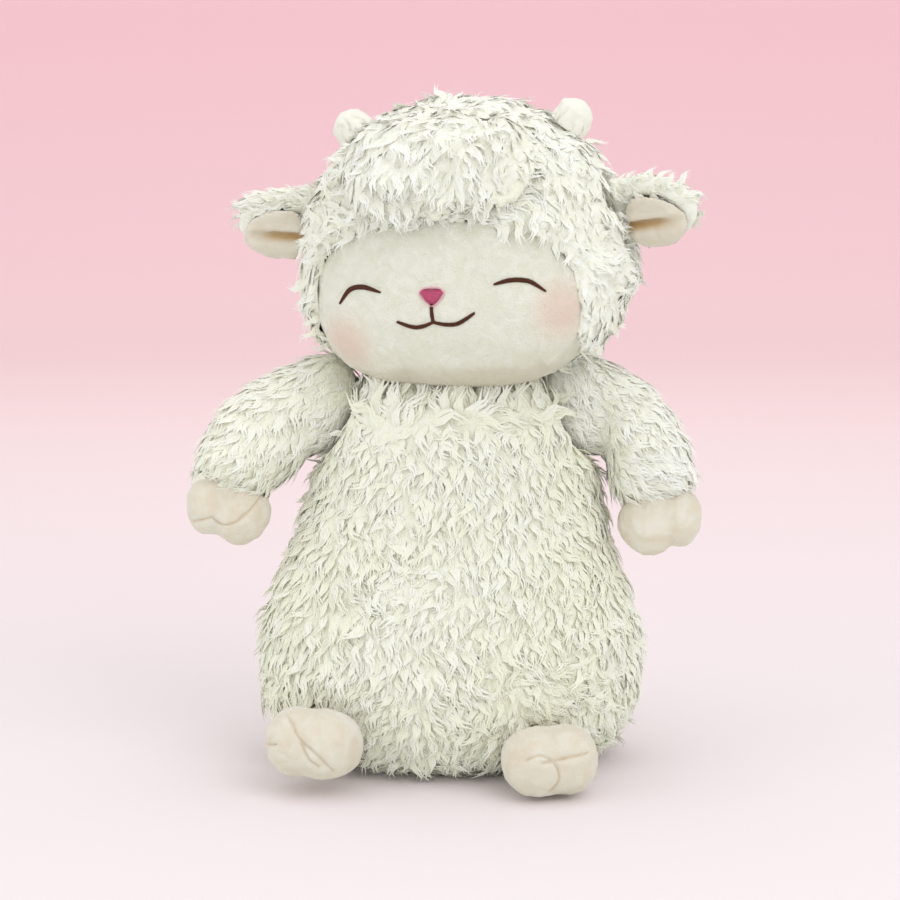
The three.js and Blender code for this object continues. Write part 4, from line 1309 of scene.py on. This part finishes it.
def face_mesh():
    """The face panel: the part of the stuffed head that the hood leaves open, round to the chin."""
    solid = solid_of(["face_panel", "head_stuffing"], 0.002, smooth=14)
    sheet = part_of(solid, "face_panel", ["head_stuffing"])
    removed(solid)
    shaped(sheet, "SUBSURF", levels=1, render_levels=1)
    inverse = head_matrix().inverted()
    front = head_matrix().to_3x3() @ Vector((0, -1, 0))

    def relief(place, normal):
        local = inverse @ place - HEAD_MIDDLE
        facing = ramp(normal.dot(front), 0.0, 0.625)
        chin = ramp(-local.z, 0.034, 0.064)
        under = ramp(0.2 - normal.z * 1.6 - facing, 0.0, 0.625)
        push = normal * face_relief(local.x, local.z) * facing
        # The second value is a painted shade under the chin, strongest where the cloth faces down.
        return place + push + DOWN * CHIN_DROP * chin, min(0.12 * chin + 0.70 * under * chin, 1.0)

    creased(sheet, relief)
    return shaped(sheet, "SOLIDIFY", thickness=FACE_THICKNESS, offset=-1.0)


class LAMB_OT_face(bpy.types.Operator):
    """Make the face panel"""

    bl_idname = "lamb.face"
    bl_label = "Face"

    def execute(self, context):
        material = face_material(context.scene.lamb_cloth)
        finished(face_mesh(), "face_cloth", "head", "face_panel", material)
        return {"FINISHED"}


# Embroidery


def stitch_object():
    """One thread of length 1 along X and width 1, round and thicker in its middle."""
    existing = bpy.data.objects.get("stitch")
    if existing:
        return existing
    rings, sides = 5, 6
    points, faces = [], []
    for ring in range(rings):
        t = ring / (rings - 1)
        radius = 0.5 * math.sqrt(max(1 - (2 * t - 1) ** 4, 0.12))
        for side in range(sides):
            angle = 2 * math.pi * side / sides
            points.append((t - 0.5, radius * math.cos(angle), radius * math.sin(angle)))
    for ring in range(rings - 1):
        for side in range(sides):
            a, b = ring * sides + side, ring * sides + (side + 1) % sides
            faces.append((a, b, b + sides, a + sides))
    faces.append(tuple(reversed(range(sides))))
    faces.append(tuple(range((rings - 1) * sides, rings * sides)))
    return bpy.data.objects.new("stitch", outward_mesh("stitch", points, faces))


def stitch_tree():
    """Lays a thread on each point, along its aim attribute and flat against its normal."""
    existing = bpy.data.node_groups.get("Stitches")
    if existing:
        return existing
    tree, given = new_tree(
        "Stitches",
        [
            ("Thread", "Object", None),
            ("Width", "Float", 0.0006),
            ("Height", "Float", 0.0009),
            ("Material", "Material", None),
        ],
    )
    aim, out = (read_attribute(tree, name, "FLOAT_VECTOR") for name in ("aim", "out"))
    thread = add_node(tree, "GeometryNodeObjectInfo", {"Object": given["Thread"], "As Instance": True})
    laid = add_node(
        tree,
        "GeometryNodeInstanceOnPoints",
        {
            "Points": given["Geometry"],
            "Instance": thread.outputs["Geometry"],
            "Rotation": standing(tree, out, aim),
            "Scale": vector_of(tree, read_attribute(tree, "long"), given["Width"], given["Height"]),
        },
    )
    return end_tree(tree, laid.outputs[0], given["Material"])


def curve_points(corners, pitch):
    """Points at a pitch along a smooth line through corners, each with the line's direction."""
    fine = []
    count = len(corners)
    for i in range(count - 1):
        p0, p1 = corners[max(i - 1, 0)], corners[i]
        p2, p3 = corners[i + 1], corners[min(i + 2, count - 1)]
        for step in range(40):
            t = step / 40
            point = []
            for a, b, c, d in zip(p0, p1, p2, p3):
                bend, twist = 2 * a - 5 * b + 4 * c - d, 3 * b - a - 3 * c + d
                point.append(0.5 * (2 * b + (c - a) * t + bend * t * t + twist * t**3))
            fine.append(tuple(point))
    fine.append(corners[-1])
    places, walked, due = [], 0.0, 0.0
    for (ax, az), (bx, bz) in zip(fine, fine[1:]):
        length = math.hypot(bx - ax, bz - az)
        if walked + length >= due and length > 0:
            places.append((ax, az, (bx - ax) / length, (bz - az) / length))
            due += pitch
        walked += length
    return places


def stitched(name, stitches, material, replaced):
    """stitches holds (x, z, aim x, aim z, length) for each thread on the face."""
    surface = surface_tree(bpy.data.objects["face_cloth"].data)
    matrix = head_matrix()
    ahead = matrix.to_3x3() @ Vector((0, 1, 0))

    def on_face(x, z):
        return surface.ray_cast(matrix @ (HEAD_MIDDLE + Vector((x, -0.3, z))), ahead)[:2]

    points, aims, outs, longs = [], [], [], []
    for x, z, ax, az, length in stitches:
        place, normal = on_face(x, z)
        nearby = on_face(x + ax * 0.001, z + az * 0.001)[0]
        points.append(place + normal * 0.0003)
        aims.extend((nearby - place).normalized())
        outs.extend(normal)
        longs.append(length)
    mesh = bpy.data.meshes.new(name)
    mesh.from_pydata(points, [], [])
    piece = linked(name, mesh)
    give_attribute(piece, "aim", aims, "FLOAT_VECTOR")
    give_attribute(piece, "out", outs, "FLOAT_VECTOR")
    give_attribute(piece, "long", longs)
    values = {"Thread": stitch_object(), "Width": THREAD_WIDTH, "Height": THREAD_HEIGHT, "Material": material}
    with_nodes(piece, stitch_tree(), values)
    drop_attributes(piece, "aim", "out", "long")
    return finished(piece, name, "head", replaced)


def satin_line(corners, width, slant=0.35, taper=0.0):
    """Threads laid side by side across a line; the line narrows to its ends by the taper."""
    stitches = []
    places = curve_points(corners, STITCH_PITCH)
    for index, (x, z, dx, dz) in enumerate(places):
        t = index / max(len(places) - 1, 1)
        ax, az = -dz + slant * dx, dx + slant * dz
        size = math.hypot(ax, az)
        stitches.append((x, z, ax / size, az / size, width * (1 - taper * abs(2 * t - 1) ** 3)))
    return stitches


def nose_fill(threads=27):
    """Upright threads that fill the nose: wide at its top, pointed below."""
    stitches = []
    for index in range(threads):
        x = -0.0062 + 0.0124 * index / (threads - 1)
        across = abs(x) / 0.0068
        top = -0.0068 - 0.0014 * across**3
        bottom = -0.0158 + 0.0072 * across**1.6
        stitches.append((x + NOSE_SHIFT, (top + bottom) / 2, 0.0, 1.0, top - bottom))
    return stitches


class LAMB_OT_embroidery(bpy.types.Operator):
    """Stitch the closed eyes, the nose and the mouth"""

    bl_idname = "lamb.embroidery"
    bl_label = "Embroidery"

    def execute(self, context):
        cloth = context.scene.lamb_cloth
        brown = thread_material("brown_thread", cloth.brown_thread, (0.13, 0.036, 0.012))
        pink = thread_material("pink_thread", cloth.pink_thread, (0.72, 0.16, 0.30))
        pale = thread_material("pale_thread", (0.80, 0.42, 0.50), (0.86, 0.56, 0.62))
        for name, corners in EYE_LINES.items():
            line = satin_line(corners, 0.0029, taper=0.6)
            stitched(f"{name}_stitches", line, brown, name)
        lines = satin_line(MOUTH_STEM, 0.0022)
        for corners in SMILES:
            lines += satin_line(corners, 0.0025, taper=0.4)
        stitched("mouth_stitches", lines, brown, "mouth")
        stitched("nose_stitches", nose_fill(), pink, "nose")
        edge = NOSE_EDGE + [(-x, z) for x, z in reversed(NOSE_EDGE[:-1])]
        edge = satin_line([(x + NOSE_SHIFT, z) for x, z in edge], 0.0013, slant=1.6)
        stitched("nose_edge_stitches", edge, pale, "nose")
        return {"FINISHED"}


class LAMB_OT_inside(bpy.types.Operator):
    """Make the stuffing and the pellet pouch"""

    bl_idname = "lamb.inside"
    bl_label = "Inside"

    def execute(self, context):
        fibre = fibre_material()
        for body, nodes in frame["record"]["behaviour"]["bodies"].items():
            for node in nodes:
                pouch = node == "pellet_pouch"
                if not (pouch or node.endswith("_stuffing")):
                    continue
                small = node.startswith(("arm", "foot", "neck"))
                piece = solid_of([node], 0.0025 if small else 0.005, smooth=4)
                moved(piece, lambda place, normal: place - normal * 0.0012 * (1 + noise.noise(place * 90.0)))
                finished(piece, f"{node}_fill", body, node, fibre)
        return {"FINISHED"}


# The stage


def area_lamp(name, place, size, power):
    data = bpy.data.lights.new(name, "AREA")
    data.shape = "SQUARE"
    data.size = size
    data.energy = power
    lamp = linked(name, data)
    lamp.location = place
    lamp.rotation_mode = "QUATERNION"
    lamp.rotation_quaternion = (LAMP_AIM - Vector(place)).to_track_quat("-Z", "Y")


def sweep_mesh(name, half_width, front, back, bend, top):
    """A floor that curves up into a backdrop."""
    profile = [(front, 0.0), (back - bend, 0.0)]
    for step in range(1, 13):
        angle = math.pi / 2 * step / 12
        profile.append((back - bend + bend * math.sin(angle), bend - bend * math.cos(angle)))
    profile.append((back, top))
    points = [(side * half_width, y, z) for y, z in profile for side in (-1, 1)]
    faces = [(2 * i, 2 * i + 1, 2 * i + 3, 2 * i + 2) for i in range(len(profile) - 1)]
    mesh = bpy.data.meshes.new(name)
    mesh.from_pydata(points, [], faces)
    return smooth_shaded(linked(name, mesh))


def floor_material(stage):
    """A pale floor that turns pink towards the backdrop, but lights the lamb with a neutral white."""
    material, tree, shader = new_material("floor_colour")
    rays = add_node(tree, "ShaderNodeLightPath").outputs
    shown = rays["Is Camera Ray"]
    for ray in ("Is Glossy Ray", "Is Transmission Ray"):
        shown = maths(tree, "ADD", shown, rays[ray], clamp=True)
    parts = add_node(tree, "ShaderNodeSeparateXYZ", {0: object_place(tree)}).outputs
    far = maths(tree, "ADD", parts[1], parts[2])
    pink = mixed(tree, mapped(tree, far, 1.2, 3.3), stage.floor_colour, stage.wall_colour)
    glow = maths(tree, "MULTIPLY", shown, mapped(tree, far, 0.0, 1.4))
    dressed(
        tree,
        shader,
        Base_Color=mixed(tree, shown, (0.84, 0.83, 0.80), pink),
        Emission_Color=mixed(tree, glow, (0, 0, 0), (0.14, 0.0, 0.0)),
        Emission_Strength=1.0,
        Roughness=0.9,
        Specular_IOR_Level=0.1,
    )
    return material


class LAMB_OT_stage(bpy.types.Operator):
    """Make the floor, the lamps and the camera"""

    bl_idname = "lamb.stage"
    bl_label = "Stage"

    def execute(self, context):
        scene = context.scene
        stage = scene.lamb_stage
        floor = sweep_mesh("floor", half_width=6.0, front=-4.0, back=3.0, bend=1.0, top=5.0)
        floor.data.materials.append(floor_material(stage))

        world = bpy.data.worlds.new("studio")
        scene.world = world
        world.use_nodes = True
        tree = world.node_tree
        seen = add_node(tree, "ShaderNodeLightPath").outputs["Is Camera Ray"]
        sky = mixed(tree, seen, (0.784, 0.80, 0.792), (0.88, 0.56, 0.62))
        dressed(tree, tree.nodes["Background"], Color=sky, Strength=1.0)
        for lamp in LAMPS:
            area_lamp(*lamp)

        data = bpy.data.cameras.new("camera")
        data.lens = data.sensor_width * stage.distance / (stage.pixel_size * stage.picture_width)
        camera = linked("camera", data)
        back = Vector((0, -math.cos(stage.elevation), math.sin(stage.elevation)))
        camera.location = Vector((0, 0, stage.aim_height)) + back * stage.distance
        camera.rotation_mode = "QUATERNION"
        camera.rotation_quaternion = (-back).to_track_quat("-Z", "Y")
        scene.camera = camera
        scene.view_settings.view_transform = "Standard"
        return {"FINISHED"}


class LAMB_PT_panel(bpy.types.Panel):
    bl_idname = "LAMB_PT_panel"
    bl_label = "Plush lamb"
    bl_space_type = "VIEW_3D"
    bl_region_type = "UI"
    bl_category = "Lamb"

    def draw(self, context):
        for group in SETTINGS:
            settings = getattr(context.scene, group)
            for name in settings.__annotations__:
                self.layout.prop(settings, name)
        for operator in OPERATORS:
            self.layout.operator(operator.bl_idname)


SETTINGS = {"lamb_fleece": FleeceSettings, "lamb_cloth": ClothSettings, "lamb_stage": StageSettings}
OPERATORS = (
    LAMB_OT_body,
    LAMB_OT_neck,
    LAMB_OT_hood,
    LAMB_OT_fringe,
    LAMB_OT_ears,
    LAMB_OT_arms,
    LAMB_OT_feet,
    LAMB_OT_tail,
    LAMB_OT_horns,
    LAMB_OT_face,
    LAMB_OT_embroidery,
    LAMB_OT_inside,
    LAMB_OT_stage,
)
CLASSES = (*SETTINGS.values(), *OPERATORS, LAMB_PT_panel)


def register():
    for cls in CLASSES:
        bpy.utils.register_class(cls)
    for name, cls in SETTINGS.items():
        setattr(bpy.types.Scene, name, PointerProperty(type=cls))


def unregister():
    for name in SETTINGS:
        delattr(bpy.types.Scene, name)
    for cls in reversed(CLASSES):
        bpy.utils.unregister_class(cls)


def main():
    register()
    for operator in OPERATORS:
        group, name = operator.bl_idname.split(".")
        getattr(getattr(bpy.ops, group), name)()


if __name__ == "__main__":
    main()
